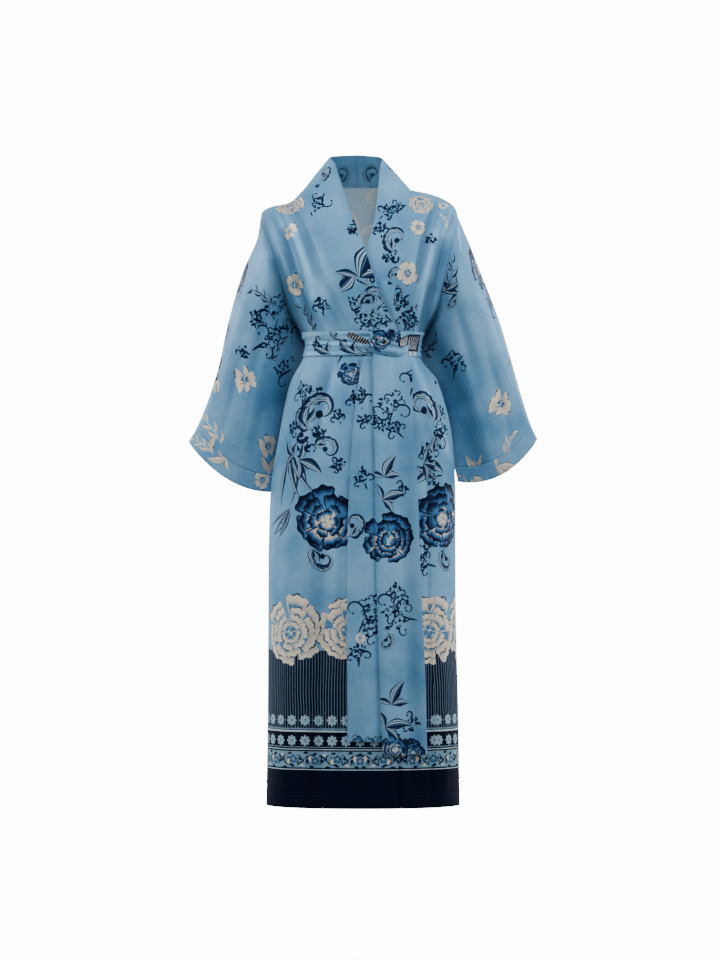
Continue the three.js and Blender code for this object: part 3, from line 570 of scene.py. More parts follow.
def peony(size, tone, draw):
    # rings of broad scalloped petals round a low centre, the outer ones reaching a circle
    centre = np.array([draw.uniform(-0.05, 0.05), -0.1]) * size
    deep = "nightPetal" if tone == "darkPetal" else tone
    strokes = [dot(centre + 0.045 * size * draw.normal(size=2), 0.032 * size, "pale") for _ in range(4)]
    side = draw.uniform(0.5, 1.5)
    for count, base, reach, width in ((5, 0.03, 0.34, 0.17), (6, 0.1, 0.56, 0.23),
                                      (7, 0.26, 0.8, 0.3), (8, 0.44, 1.0, 0.37)):
        turn = draw.uniform(0, 6.28)
        for k in range(count):
            angle = turn + 2 * math.pi * k / count + draw.normal() * 0.13
            way = np.array([math.cos(angle), math.sin(angle)])
            inward = -(centre @ way)
            toCircle = inward + math.sqrt(size**2 - centre @ centre + inward**2)
            start = centre + way * toCircle * base
            length = toCircle * (reach * draw.uniform(0.86, 1.02) - base)
            petal = bend(start, angle, length, draw.normal() * 0.2, steps=5)
            dark = math.cos(angle - side) > 0.25 if reach > 0.7 else draw.uniform() < 0.3
            wide = width * size * draw.uniform(0.82, 1.1)
            strokes.append(stroke(petal, wide, deep if dark else tone, 0.8, 0.3, 0.45))
    return strokes


def blossom(size, tone, draw):
    # five petals and as many short stamens between them
    turn = draw.uniform(0, 6.28)
    strokes = [dot((0, 0), 0.07 * size, "pale")]
    petals = 5
    for k in range(petals):
        angle = turn + 2 * math.pi * (k + 0.5) / petals
        ray = np.array([math.cos(angle), math.sin(angle)]) * size
        strokes.append(stroke([0.06 * ray, 0.34 * ray], 0.035 * size, "navy"))
    for k in range(petals):
        angle = turn + 2 * math.pi * k / petals
        petal = bend(np.zeros(2), angle, size, draw.normal() * 0.15, steps=4)
        strokes.append(stroke(petal, 0.47 * size, tone, 0.8, 0.36, 0.5))
    return strokes


def spray(size, tone, draw):
    # broad hooked leaves in turn along a curving stem
    leaves = 5
    turn = draw.choice([-1, 1]) * draw.uniform(0.6, 1.1)
    stem = bend(np.array([0, -0.5 * size]), math.pi / 2 - turn / 2, size, turn)
    line = "pale" if tone == "creamLeaf" else "navy"
    strokes = [leaf(stem[-1], math.pi / 2 + turn / 2, 0.34 * size, 0.1 * size, tone, turn)]
    for k in range(leaves):
        t = (k + 0.5) / (leaves + 0.5)
        side = 1 if k % 2 else -1
        place = np.array([np.interp(t, np.linspace(0, 1, len(stem)), stem[:, n]) for n in (0, 1)])
        heading = math.pi / 2 + turn * (t - 0.5) + side * draw.uniform(0.7, 1.1)
        long = size * (0.44 - 0.16 * t)
        strokes.append(leaf(place, heading, long, 0.22 * long, tone, -side * draw.uniform(0.6, 1.2)))
        if k % 2:
            curl = bend(place, heading + 1.2 * side, 0.2 * size, -side * 4.5, bias=1.6)
            strokes.append(dot(curl[-1], 1.7, line))
            strokes.append(stroke(curl, 0.9, line, 0.1, 0.4))
    strokes.append(stroke(stem, 1.1, line, 0.1, 0.2))
    return strokes


def scroll(size, tone, draw):
    # a ribbon that winds into a ring and ends in a ball, with hooked leaves on its outer side
    hand = draw.choice([-1, 1])
    stem = bend(np.array([0, -0.5 * size]), math.pi / 2 + 0.5 * hand, 1.5 * size, -hand * 5.6, bias=1.9, steps=26)
    strokes = [dot(stem[-1], 0.085 * size, "navy")]
    for t, long in ((0.1, 0.42), (0.22, 0.36), (0.34, 0.3), (0.46, 0.26), (0.6, 0.18)):
        k = int(t * (len(stem) - 1))
        way = stem[k + 1] - stem[k]
        heading = math.atan2(way[1], way[0])
        strokes.append(leaf(stem[k], heading + hand * 0.7, size * long, 0.3 * size * long, tone, -hand * 1.9))
    strokes.append(leaf(stem[3], math.pi / 2 - 0.8 * hand, 0.36 * size, 0.09 * size, tone, hand * 1.2))
    strokes.append(stroke(stem, 0.095 * size, tone, 0.5, 0.45, 0.7))
    foot = bend(stem[0], -math.pi / 2 + 0.4 * hand, 0.5 * size, -hand * 5.0, bias=1.8)
    strokes.append(dot(foot[-1], 0.06 * size, "navy"))
    strokes.append(stroke(foot, 0.045 * size, "navy", 0.3, 0.5))
    return strokes


def filigree(size, tone, draw):
    # thin stems that fork twice into rings with balls, with small dark leaflets in pairs
    forks, steps = 2, 14
    strokes = []

    def branch(start, heading, length, hand, level):
        path = bend(start, heading, length, hand * draw.uniform(4.4, 5.8), bias=2.4, steps=steps)
        strokes.append(dot(path[-1], 2.5, tone))
        for t in (0.3, 0.55):
            k = int(t * steps)
            way = path[k + 1] - path[k]
            across = math.atan2(way[1], way[0]) + hand * draw.uniform(-2.2, -1.2)
            small = draw.uniform(8, 12)
            strokes.append(leaf(path[k], across, small, 0.3 * small, tone, draw.normal()))
        strokes.append(stroke(path, 1.15 + 0.4 * level, tone, 0.1, 0.35))
        if level:
            for t, shorter in ((0.2, 0.66), (0.42, 0.56)):
                k = int(t * steps)
                way = path[k + 1] - path[k]
                branch(path[k], math.atan2(way[1], way[0]) - hand * 0.6, length * shorter, -hand, level - 1)
    branch(np.array([0, -0.5 * size]), math.pi / 2 - 0.3, 1.1 * size, draw.choice([-1, 1]), forks)
    return strokes


def palmLeaf(size, tone, draw):
    # two broad pointed leaves and two slim ones from one foot
    strokes = []
    for heading, long, wide in ((0.25, 1.0, 0.22), (-0.75, 0.66, 0.2), (1.25, 0.66, 0.24), (0.75, 0.5, 0.16)):
        turn = draw.uniform(0.5, 1.0) * (-1 if heading > 0 else 1)
        strokes.append(leaf((0, -0.5 * size), math.pi / 2 - heading, size * long, size * long * wide, tone, turn))
    return strokes


def reeds(size, tone, draw):
    # long slim strands that fan down from one place, two of them ending in curls
    strokes = []
    for k, heading in enumerate(np.linspace(-2.15, -1.0, 5)):
        long = size * draw.uniform(0.7, 1.05)
        turn = draw.uniform(0.3, 0.9) * (1 if k < 3 else -1)
        strokes.append(leaf((0, 0.5 * size), heading, long, 0.055 * size, tone, turn))
    for hand in (-1, 1):
        curl = bend(np.array([0, 0.3 * size]), -1.57 + 0.9 * hand, 0.5 * size, -hand * 4.6, bias=1.8)
        strokes.append(dot(curl[-1], 2.0, "navy"))
        strokes.append(stroke(curl, 1.1, "navy", 0.1, 0.4))
    return strokes


def vine(number):
    # one length of the hem's running vine: a flower on a wave, curled leaves on both sides of it
    up = 1 if number % 2 else -1
    strokes = [dot((0, 2 * up), 2.2, "creamPetal")]
    for k in range(5):
        angle = 0.4 + 2 * math.pi * k / 5
        start = np.array([2 * math.cos(angle), 2 * up + 2 * math.sin(angle)])
        strokes.append(stroke(bend(start, angle, 6.5, 0.2, steps=3), 4.2, "nightPetal", 0.8, 0.35))
    for x, y, heading, long, turn, name in (
            (9, -10, 0.6, 17, 2.4, "creamLeaf"), (11, 10, -0.7, 20, -2.2, "navyLeaf"),
            (19, -5, 0.9, 19, 1.6, "navyLeaf"), (-10, -10, 2.4, 17, -2.0, "navyLeaf"),
            (-9, 11, 3.4, 14, 1.8, "navyLeaf"), (23, 12, 0.2, 11, -1.2, "creamLeaf"), (2, 14, 0.2, 12, -0.6, "navy"),
            (14, -15, -0.2, 13, 0.5, "navy"), (-5, -14, 0.1, 12, 0.4, "navy"), (-19, 1, 1.2, 14, -1.5, "navyLeaf"),
            (27, 1, -1.0, 13, 1.4, "navy")):
        strokes.append(leaf((x, y * up), heading * up, long, 0.26 * long, name, turn * up))
    wave = np.linspace(0, 1, 9)
    stem = np.stack([49 * wave, (9 - 18 * wave + 5 * np.sin(2 * math.pi * wave)) * -up], axis=1)
    strokes.append(stroke(stem, 1.8, "navy", 0.05, 0.05))
    return strokes


def twist(size, tone, *_):
    # the striped border rolled up: short pale lines across a navy roll, with nothing left to chance
    strokes = [stroke([(x * size, -0.14 * size), ((x + 0.05) * size, 0.14 * size)], 0.6, "pale", 0.1, 0.1)
               for x in np.linspace(-0.42, 0.38, 9)]
    return strokes + [stroke([(-0.5 * size, 0), (0.5 * size, 0)], 0.12 * size, tone, 0.15, 0.15)]


def fan(size, tone, *_):
    # the striped border gathered at its foot: pale lines that spread upwards over navy, always the same
    strokes = [stroke([(0.6 * x * size, -0.3 * size), (x * size, 0.3 * size)], 0.6, "pale", 0.1, 0.1)
               for x in np.linspace(-0.4, 0.4, 7)]
    return strokes + [stroke([(-0.52 * size, 0), (0.52 * size, 0)], 0.36 * size, tone, 0.12, 0.12, 0.4)]


motifs = {
    "peony": (peony, "darkPetal"), "palePeony": (peony, "creamPetal"), "blossom": (blossom, "blossomPetal"),
    "spray": (spray, "navyLeaf"), "paleSpray": (spray, "creamLeaf"), "scroll": (scroll, "navyLeaf"),
    "paleScroll": (scroll, "creamLeaf"), "palmLeaf": (palmLeaf, "navyLeaf"), "palePalmLeaf": (palmLeaf, "creamLeaf"),
    "reeds": (reeds, "navyLeaf"), "filigree": (filigree, "navy"), "twist": (twist, "navy"), "fan": (fan, "navy"),
}
# Where the motifs are in the front view: the pieces that show them, then x, z, motif, size and quarter turns
# to the left. A motif's place in the whole list is its seed, so new ones go at the end.
frontPrint = [
    ("front_right", [
        (-77, -684, "peony", 74, 0), (-155, -920, "palePeony", 78, 0), (-32, -916, "palePeony", 74, 0.1),
        (-101, -445, "scroll", 110, -0.2), (-133, -473, "scroll", 69, 0.6), (-75, -525, "scroll", 71, -0.8),
        (-161, -546, "palmLeaf", 44, 0.9), (-108, -555, "palmLeaf", 62, -0.9), (-56, -563, "filigree", 44, -0.6),
        (-146, -598, "reeds", 130, 0.1), (-174, -697, "reeds", 84, -0.4), (-92, -776, "scroll", 76, 2.2),
        (-28, -376, "peony", 28, 0.6), (-135, -419, "filigree", 73, 0.3), (-110, -413, "filigree", 57, -0.4),
        (-24, -434, "filigree", 52, 0.2), (-157, -13, "palePeony", 36, 0.1), (-155, -71, "blossom", 18, 0),
        (-146, -187, "blossom", 27, 0), (-118, -260, "spray", 62, 0.1), (-97, -234, "filigree", 52, 0.3),
        (-92, -22, "filigree", 73, 0.1), (-80, -47, "filigree", 44, 1.8), (-64, -327, "palmLeaf", 50, 1.0)]),
    ("neck_band_right", [
        (-77, 56, "scroll", 51, -0.3), (-84, -11, "filigree", 68, 2.0), (-17, -133, "palmLeaf", 84, 0.15),
        (-24, -194, "palmLeaf", 62, 1.9), (9, -215, "scroll", 53, -0.4), (2, -125, "filigree", 44, 0),
        (28, -206, "scroll", 62, 0.3), (37, -269, "filigree", 47, 0.6), (-6, -262, "filigree", 44, 0),
        (22, -241, "spray", 46, -0.6), (-9, -434, "filigree", 65, 0.1), (30, -690, "peony", 62, 0),
        (49, -918, "palePeony", 74, 0), (-24, -69, "filigree", 39, 0.4)]),
    ("neck_band_left", [
        (62, 62, "palmLeaf", 30, 0.9), (60, -86, "scroll", 76, 0.1), (45, -26, "filigree", 52, -0.3),
        (71, -13, "filigree", 44, -0.8), (32, -69, "filigree", 44, 0.2)]),
    ("front_left", [
        (125, -11, "palePeony", 30, 0), (118, -64, "blossom", 20, 0), (172, -15, "blossom", 13, 0),
        (178, -54, "paleSpray", 34, 0.1), (95, -163, "blossom", 27, 0), (86, -256, "filigree", 65, 0.1),
        (103, -271, "filigree", 44, 0.5), (71, -22, "filigree", 47, -0.5), (108, -254, "spray", 41, 0.2),
        (67, -206, "scroll", 51, 0.2), (140, -92, "filigree", 31, 0.3)]),
    ("front_left back", [
        (135, -439, "scroll", 100, 0.15), (161, -520, "scroll", 67, -0.3), (153, -559, "palmLeaf", 56, -0.8),
        (131, -542, "filigree", 57, 0.2), (131, -602, "palmLeaf", 44, 1.8), (168, -679, "peony", 74, 0.1),
        (125, -731, "filigree", 99, 0.1), (125, -787, "filigree", 65, 1.0), (174, -778, "scroll", 62, 2.0),
        (140, -918, "palePeony", 78, 0), (202, -918, "palePeony", 78, 0.3), (161, -456, "filigree", 47, 0)]),
    ("sleeve_right", [
        (-264, -161, "peony", 46, 0.3), (-254, -387, "blossom", 27, 0), (-204, -529, "blossom", 26, 0),
        (-196, -232, "filigree", 120, 0.1), (-204, -290, "filigree", 99, -0.5), (-166, -280, "filigree", 91, 0.4),
        (-172, -378, "filigree", 81, 1.1), (-264, -327, "filigree", 34, 0), (-316, -400, "blossom", 14, 0),
        (-325, -499, "paleSpray", 69, 0.4), (-217, -580, "palePalmLeaf", 50, 0.8),
        (-338, -529, "palePalmLeaf", 44, 0.2), (-217, -215, "spray", 57, 0.5), (-185, -327, "spray", 51, -0.3)]),
    ("cuff_right", [
        (-344, -531, "paleSpray", 57, 0.6), (-310, -568, "palePalmLeaf", 44, 1.4), (-217, -602, "blossom", 22, 0)]),
    ("sleeve_left", [
        (247, -146, "peony", 56, -0.2), (295, -439, "blossom", 27, 0), (181, -163, "spray", 84, -0.1),
        (168, -198, "palmLeaf", 54, 0.9), (185, -348, "filigree", 81, 0.1), (176, -86, "blossom", 14, 0),
        (230, -580, "palePalmLeaf", 50, 0.9), (221, -598, "paleScroll", 46, 0.3), (144, -312, "spray", 57, -0.7),
        (312, -529, "paleSpray", 51, -0.2), (191, -226, "scroll", 39, 1.8)]),
    ("cuff_left", [
        (247, -615, "blossom", 24, 0), (305, -563, "palePalmLeaf", 46, -0.6), (221, -615, "paleSpray", 46, 0.3)]),
    ("sash_tail_over sash_tail_under", [(54, -724, "peony", 58, 0)]),
    ("sash_tail_over", [
        (45, -441, "filigree", 109, 0.1), (99, -383, "filigree", 81, 0), (39, -473, "filigree", 65, 2.4),
        (39, -570, "palmLeaf", 56, 0.15), (60, -624, "palmLeaf", 56, -0.5), (80, -615, "filigree", 44, -0.8),
        (58, -851, "filigree", 99, 0.1), (71, -907, "filigree", 99, 1.1), (54, -946, "scroll", 46, 2.1),
        (56, -1049, "palmLeaf", 60, 0.1), (67, -1105, "palmLeaf", 60, -0.5), (101, -1107, "filigree", 57, -0.9),
        (67, -1170, "peony", 34, 0), (105, -1178, "peony", 30, 0.4)]),
    ("sash_tail_under", [
        (-8, -600, "filigree", 57, 0.4), (-11, -426, "filigree", 57, 0.2), (-11, -699, "scroll", 67, -0.5),
        (-2, -873, "filigree", 109, -0.1), (15, -924, "filigree", 86, 0.7), (-6, -937, "blossom", 12, 0),
        (-19, -968, "filigree", 65, 0.2), (-11, -1157, "peony", 14, 0), (13, -1157, "peony", 13, 0),
        (34, -1155, "peony", 14, 0), (-19, -1148, "scroll", 25, 0.4)]),
    ("sash_knot", [
        (37, -303, "peony", 32, 0.2), (68, -297, "peony", 17, -0.4), (88, -308, "fan", 30, 0.2),
        (40, -345, "filigree", 31, -1)]),
    ("sash_wrap", [
        (106, -309, "fan", 52, 0), (107, -333, "blossom", 13, 0), (-11, -302, "twist", 56, -0.27),
        (-62, -293, "scroll", 30, 0.6), (-40, -312, "scroll", 25, -0.5), (-88, -335, "palmLeaf", 44, 1.1),
        (-39, -333, "palmLeaf", 50, 1.0), (-2, -335, "spray", 46, 1), (-97, -320, "filigree", 44, 1.2)]),
    ("neck_band_right", [
        (18, -168, "scroll", 48, 0.2), (-16, -236, "filigree", 56, 0.9), (16, -256, "filigree", 56, -0.5)]),
    ("neck_band_left", [(50, -128, "filigree", 42, 0.6), (66, -160, "scroll", 40, -0.2)]),
    ("front_left", [(84, -226, "filigree", 46, 1.6)]),
    ("front_right", [
        (-132, -536, "filigree", 58, 0.3), (-148, -498, "filigree", 56, 1.1), (-96, -498, "filigree", 48, -0.6),
        (-60, -470, "filigree", 40, 0.5)]),
    ("front_left back", [
        (162, -498, "filigree", 60, 0.4), (148, -604, "filigree", 54, 1.3), (164, -398, "filigree", 48, 0.1)]),
    ("sleeve_right", [(-230, -262, "filigree", 56, 0.8)]),
    ("sash_tail_over", [(62, -500, "filigree", 58, 0.7)]),
    ("sash_tail_under", [(0, -482, "filigree", 42, 0.9)]),
]


frontMotifs = [(names, *place) for names, places in frontPrint for place in places]
chance = np.random.default_rng(11)


def scatter(piece, xs, zs, row):
    # the same kinds of motif for a side that the front view hides, in half-drop rows
    kinds = [("peony", 70), ("filigree", 80), ("scroll", 84), ("blossom", 27),
             ("palmLeaf", 76), ("filigree", 70), ("reeds", 110), ("blossom", 27)]
    places = []
    for j, z in enumerate(zs):
        for i, x in enumerate(xs):
            name, size = kinds[(3 * j + 5 * i + row) % len(kinds)]
            drop = (zs[1] - zs[0]) / 2 if i % 2 else 0
            places.append((piece, x, z + drop, name, size, chance.uniform(-0.6, 0.6)))
    return places


backMotifs = (
    scatter("back", np.linspace(-150, 150, 4), np.arange(-170, -800, -124), 0)
    + scatter("sleeve_right", np.linspace(-300, -190, 2), np.arange(-150, -520, -110), 2)
    + scatter("sleeve_left", np.linspace(200, 310, 2), np.arange(-150, -520, -110), 4)
    + [("back", x, -918, "palePeony", 78, 0) for x in np.arange(-180, 200, 120)]
    + [("back", -10, -30, "palePalmLeaf", 90, 0), ("back", 30, 10, "palePeony", 26, 0),
       ("neck_band_right", -40, 62, "scroll", 50, 0.2), ("neck_band_left", 14, 66, "scroll", 56, 0)])


# Laying strokes on a surface: each cell of the grid keeps up to five of them

layerCount = 5
laying = {
    "pastEnd": 4.0, "pastShare": 0.05,  # how far a straight line and a curve reach past their ends, mm and share
    "crossing": 4.5,  # mm from a thin line at which the cell that it crosses still shows it
    "inCell": 24.0,  # mm of a line that one cell may hold; more means that it lies between two turns of a curl
    "fullWidth": 0.85, "fullEnd": 0.9,  # a cell that a stroke fills so far takes no other
    "facing": 0.05,  # least share of a point's normal that looks at the viewer where a motif finds its place
    "around": 1.3, "margin": 8.0,  # the cells that a motif may touch: this many sizes, and mm more, from its middle
}


def prepareCells(piece):
    # uv of the four corners of each cell, in the order of the faces
    uv = piece["uv"]
    corners = np.stack([uv[:-1, :-1], uv[1:, :-1], uv[1:, 1:], uv[:-1, 1:]], axis=2)
    piece["cells"] = corners.reshape(-1, 4, 2)
    count = len(piece["cells"])
    piece["used"] = np.zeros(count, dtype=int)
    piece["shape"] = np.zeros((layerCount, count, 4, 3), dtype=np.float32)
    piece["shape"][..., 0] = -9  # a share that lies outside every stroke
    piece["profile"] = np.ones((layerCount, count, 3), dtype=np.float32)


def strokeCoordinates(points, spots):
    # share along the line and signed distance from it, for an array of spots; ends run on straight
    starts, moves = points[:-1], np.diff(points, axis=0)
    lengths = np.linalg.norm(moves, axis=1)
    ways = moves / lengths[:, None]
    offset = spots[..., None, :] - starts
    forward = np.sum(offset * ways, axis=-1)
    low = np.where(np.arange(len(ways)) == 0, -np.inf, 0)
    high = np.where(np.arange(len(ways)) == len(ways) - 1, np.inf, lengths)
    held = np.clip(forward, low, high)
    gap = offset - held[..., None] * ways
    best = np.argmin(np.sum(gap**2, axis=-1), axis=-1)[..., None]
    side = np.sign(ways[:, 0] * offset[..., 1] - ways[:, 1] * offset[..., 0])
    distance = np.linalg.norm(gap, axis=-1) * side
    total = np.concatenate([[0], np.cumsum(lengths)])
    share = (total[:-1] + held) / total[-1]
    return np.take_along_axis(share, best, -1)[..., 0], np.take_along_axis(distance, best, -1)[..., 0]


def layStroke(piece, item, points, near):
    # near: the cells that may be touched
    free = near[piece["used"][near] < layerCount]
    corners = piece["cells"][free]
    share, distance = strokeCoordinates(points, corners)
    across = distance / item["width"]
    length = np.linalg.norm(np.diff(points, axis=0), axis=1).sum()
    past = laying["pastEnd"] / length if len(points) == 2 else laying["pastShare"]
    crossed = np.sign(across).min(axis=1) != np.sign(across).max(axis=1)
    crossed &= np.abs(distance).min(axis=1) < laying["crossing"]
    touched = (np.abs(across).min(axis=1) < 1) | crossed
    touched &= (share.max(axis=1) > -past) & (share.min(axis=1) < 1 + past)
    touched &= share.max(axis=1) - share.min(axis=1) < laying["inCell"] / length
    chosen = free[touched]
    slot = piece["used"][chosen]
    values = np.stack([share, across, np.full_like(share, item["tone"])], axis=-1)[touched]
    piece["shape"][slot, chosen] = values
    piece["profile"][slot, chosen] = item["profile"]
    rise, fall, power = item["profile"]
    wide = (np.clip(share / rise, 0, 1) * np.clip((1 - share) / fall, 0, 1)) ** power
    filled = (np.abs(across) < laying["fullWidth"] * wide) & (share > 0) & (share < laying["fullEnd"])
    piece["used"][chosen] += 1
    piece["used"][chosen[filled.all(axis=1)[touched]]] = layerCount


def layItems(piece, items, origin, matrix, reach):
    # a motif's strokes, turned and moved into the cloth's own distances
    near = np.flatnonzero(np.sum((piece["cells"].mean(axis=1) - origin) ** 2, axis=1) < reach**2)
    if len(near):
        for item in items:
            layStroke(piece, item, item["points"] @ matrix.T + origin, near)


def layMotif(name, x, z, motif, size, turns, face, seed):
    # the motif lies at the point of the surface that shows at x, z, turned with the surface
    piece = pieces[name]
    grid, normals, uv = piece["grid"], piece["normals"], piece["uv"]
    hidden = face * normals[..., 1] < laying["facing"]
    far = (grid[..., 0] - x) ** 2 + (grid[..., 2] - z) ** 2 + 1e6 * hidden  # square mm; hidden is a metre further
    i, j = np.unravel_index(np.argmin(far), far.shape)
    before, after = max(i - 1, 0), min(i + 1, len(grid) - 1)
    low, high = max(j - 1, 0), min(j + 1, grid.shape[1] - 1)
    moves = np.stack([grid[after, j] - grid[before, j], grid[i, high] - grid[i, low]], axis=1)
    uvMoves = np.stack([uv[after, j] - uv[before, j], uv[i, high] - uv[i, low]], axis=1)
    toRight = unit(np.cross(normals[i, j], [0, 0, 1]))
    upward = np.cross(toRight, normals[i, j])
    if toRight[0] * -face < 0:
        toRight, upward = -toRight, -upward
    if upward[2] < 0:
        upward = -upward
    frameMap = uvMoves @ np.linalg.pinv(moves) @ np.stack([toRight, upward], axis=1)
    # a motif that reaches over a seam has its middle off the piece, so the step from the nearest point is added
    step = np.array([(x - grid[i, j, 0]) * np.sign(toRight[0]), z - grid[i, j, 2]])
    origin = uv[i, j] + frameMap @ step
    angle = turns * math.pi / 2
    turned = np.array([[math.cos(angle), -math.sin(angle)], [math.sin(angle), math.cos(angle)]])
    matrix = frameMap @ turned
    shape, tone = motifs[motif]
    items = shape(size, tone, np.random.default_rng(seed))
    around = uv[-1, j, 0]
    for shift in (0, around, -around) if piece["ring"] else (0,):
        layItems(piece, items, origin + (shift, 0), matrix, laying["around"] * size + laying["margin"])


def layVine(piece):
    # the running vine of the hem, the same length of it again and again
    across, step = piece["uv"][:, 0, 0], hem["vineLength"]
    for k in range(math.floor(across.min() / step), math.ceil(across.max() / step) + 1):
        layItems(piece, vine(k), np.array([k * step, hem["vineMiddle"]]), np.eye(2), hem["vineReach"])


# heights over the hem, in mm
hem = {
    "vineMiddle": 103.0, "vineLength": 49.0, "vineReach": 40.0,
    "rosettes": (144.0, 187.0), "rosetteStep": 30.0, "rosetteSize": 11.5, "rosetteRing": 3.0, "rosetteHeart": 1.7,
    "stripeFoot": 170.0, "stripeTop": 342.0, "stripeRise": 8.0,  # the pinstripes' upper edge waves by stripeRise
    "stripeStep": 6.2, "stripeHalf": 0.09,  # half a stripe's width as a share of the step
    "sway": 9.0, "swayScale": 9.0,  # they drift sideways by up to sway, by a noise of so many waves a metre
    "stitch": (25.6, 26.6), "stitchStep": 3.0, "stitchShare": 0.6,  # the seam that holds the turned-up hem
    # where each plain band or line starts
    "bands": [(0, "navy"), (81, "pale"), (82.6, "navy"), (85.6, "bandGround"), (120.5, "navy"), (124, "pale"),
              (126.2, "navy"), (129, "stripe"), (130.4, "navy"), (162, "pale"), (164.2, "navy"), (167, "stripe"),
              (169, "navy")],
    "bandTop": 420.0,
}
for piece in pieces.values():
    prepareCells(piece)
    if piece["border"]:
        layVine(piece)
for placed, face in ((frontMotifs, -1), (backMotifs, 1)):
    for number, (names, *place) in enumerate(placed):
        for name in names.split():
            layMotif(name, *place, face, number)
print("print laid out:", len(frontMotifs) + len(backMotifs), "motifs")


# Meshes: a closed wall of cloth from each grid

def shellFaces(columns, rows, ring):
    # outer cells first, then inner cells in the same order, then the rims
    count = columns * rows
    i = np.arange(columns if ring else columns - 1)[:, None]
    j = np.arange(rows - 1)[None]

    def index(i, j):
        return (i % columns) * rows + j
    outer = np.stack([index(i, j), index(i + 1, j), index(i + 1, j + 1), index(i, j + 1)], axis=-1).reshape(-1, 4)
    inner = outer[:, ::-1] + count
    low, high = index(i[:, 0], 0), index(i[:, 0] + 1, 0)
    bottom = np.stack([high, low, low + count, high + count], axis=-1)
    low, high = index(i[:, 0], rows - 1), index(i[:, 0] + 1, rows - 1)
    top = np.stack([low, high, high + count, low + count], axis=-1)
    rims = [bottom, top]
    if not ring:
        k = np.arange(rows - 1)
        rims.append(np.stack([k, k + 1, k + 1 + count, k + count], axis=-1))
        k = k + (columns - 1) * rows
        rims.append(np.stack([k + 1, k, k + count, k + 1 + count], axis=-1))
    return outer, inner, np.concatenate(rims)


def makeCloth(name, materials):
    # the grid, and the same grid a wall's thickness inwards, joined at the rims
    piece = pieces[name]
    grid, normals, ring = piece["grid"], piece["normals"], piece["ring"]
    columns, rows = grid.shape[:2]
    points = np.concatenate([grid.reshape(-1, 3), (grid - normals * piece["wall"]).reshape(-1, 3)])
    outer, inner, rims = shellFaces(columns, rows, ring)
    faces = np.concatenate([outer, inner, rims])
    # the outer cells look along the normals
    corner = points[outer[len(outer) // 2]]
    way = np.cross(corner[2] - corner[0], corner[3] - corner[1])
    flipped = np.dot(way, normals.reshape(-1, 3)[outer[len(outer) // 2, 0]]) < 0
    mesh = bpy.data.meshes.new(name + "_cloth")
    mesh.from_pydata((points * mm).tolist(), [], (faces[:, ::-1] if flipped else faces).tolist())
    count, total = len(outer), len(faces)

    def corners(values):
        # values of the outer cells' corners, given to the inner cells and the rims too
        size = values.shape[-1]
        full = np.zeros((total, 4, size), dtype=np.float32)
        full[:count] = values
        full[count:2 * count] = values[:, ::-1]
        full[2 * count:] = values.reshape(-1, size)[0]
        return (full[:, ::-1] if flipped else full).reshape(-1, size)
    uvs = corners(piece["cells"])
    mesh.uv_layers.new(name="cloth").data.foreach_set("uv", (uvs * mm).ravel())
    for layer in range(layerCount):
        shape = mesh.attributes.new("shape%d" % layer, "FLOAT_VECTOR", "CORNER")
        shape.data.foreach_set("vector", corners(piece["shape"][layer]).ravel())
        profile = np.ones((total, 3), dtype=np.float32)
        profile[:count] = piece["profile"][layer]
        profile[count:2 * count] = piece["profile"][layer]
        mesh.attributes.new("profile%d" % layer, "FLOAT_VECTOR", "FACE").data.foreach_set("vector", profile.ravel())
    # painted shade and painted highlight for each point, which the shader reads as fold
    fold = np.tile(piece["fold"].reshape(-1), 2).astype(np.float32)
    mesh.attributes.new("fold", "FLOAT", "POINT").data.foreach_set("value", fold)
    for material in materials:
        mesh.materials.append(material)
    side = np.zeros(total, dtype=np.int32)
    side[count:2 * count] = 1
    mesh.polygons.foreach_set("material_index", side)
    mesh.polygons.foreach_set("use_smooth", np.ones(total, dtype=bool))
    thing = bpy.data.objects.new(name + "_cloth", mesh)
    bpy.context.collection.objects.link(thing)
    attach(thing, "root")
    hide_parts(name)
    return thing
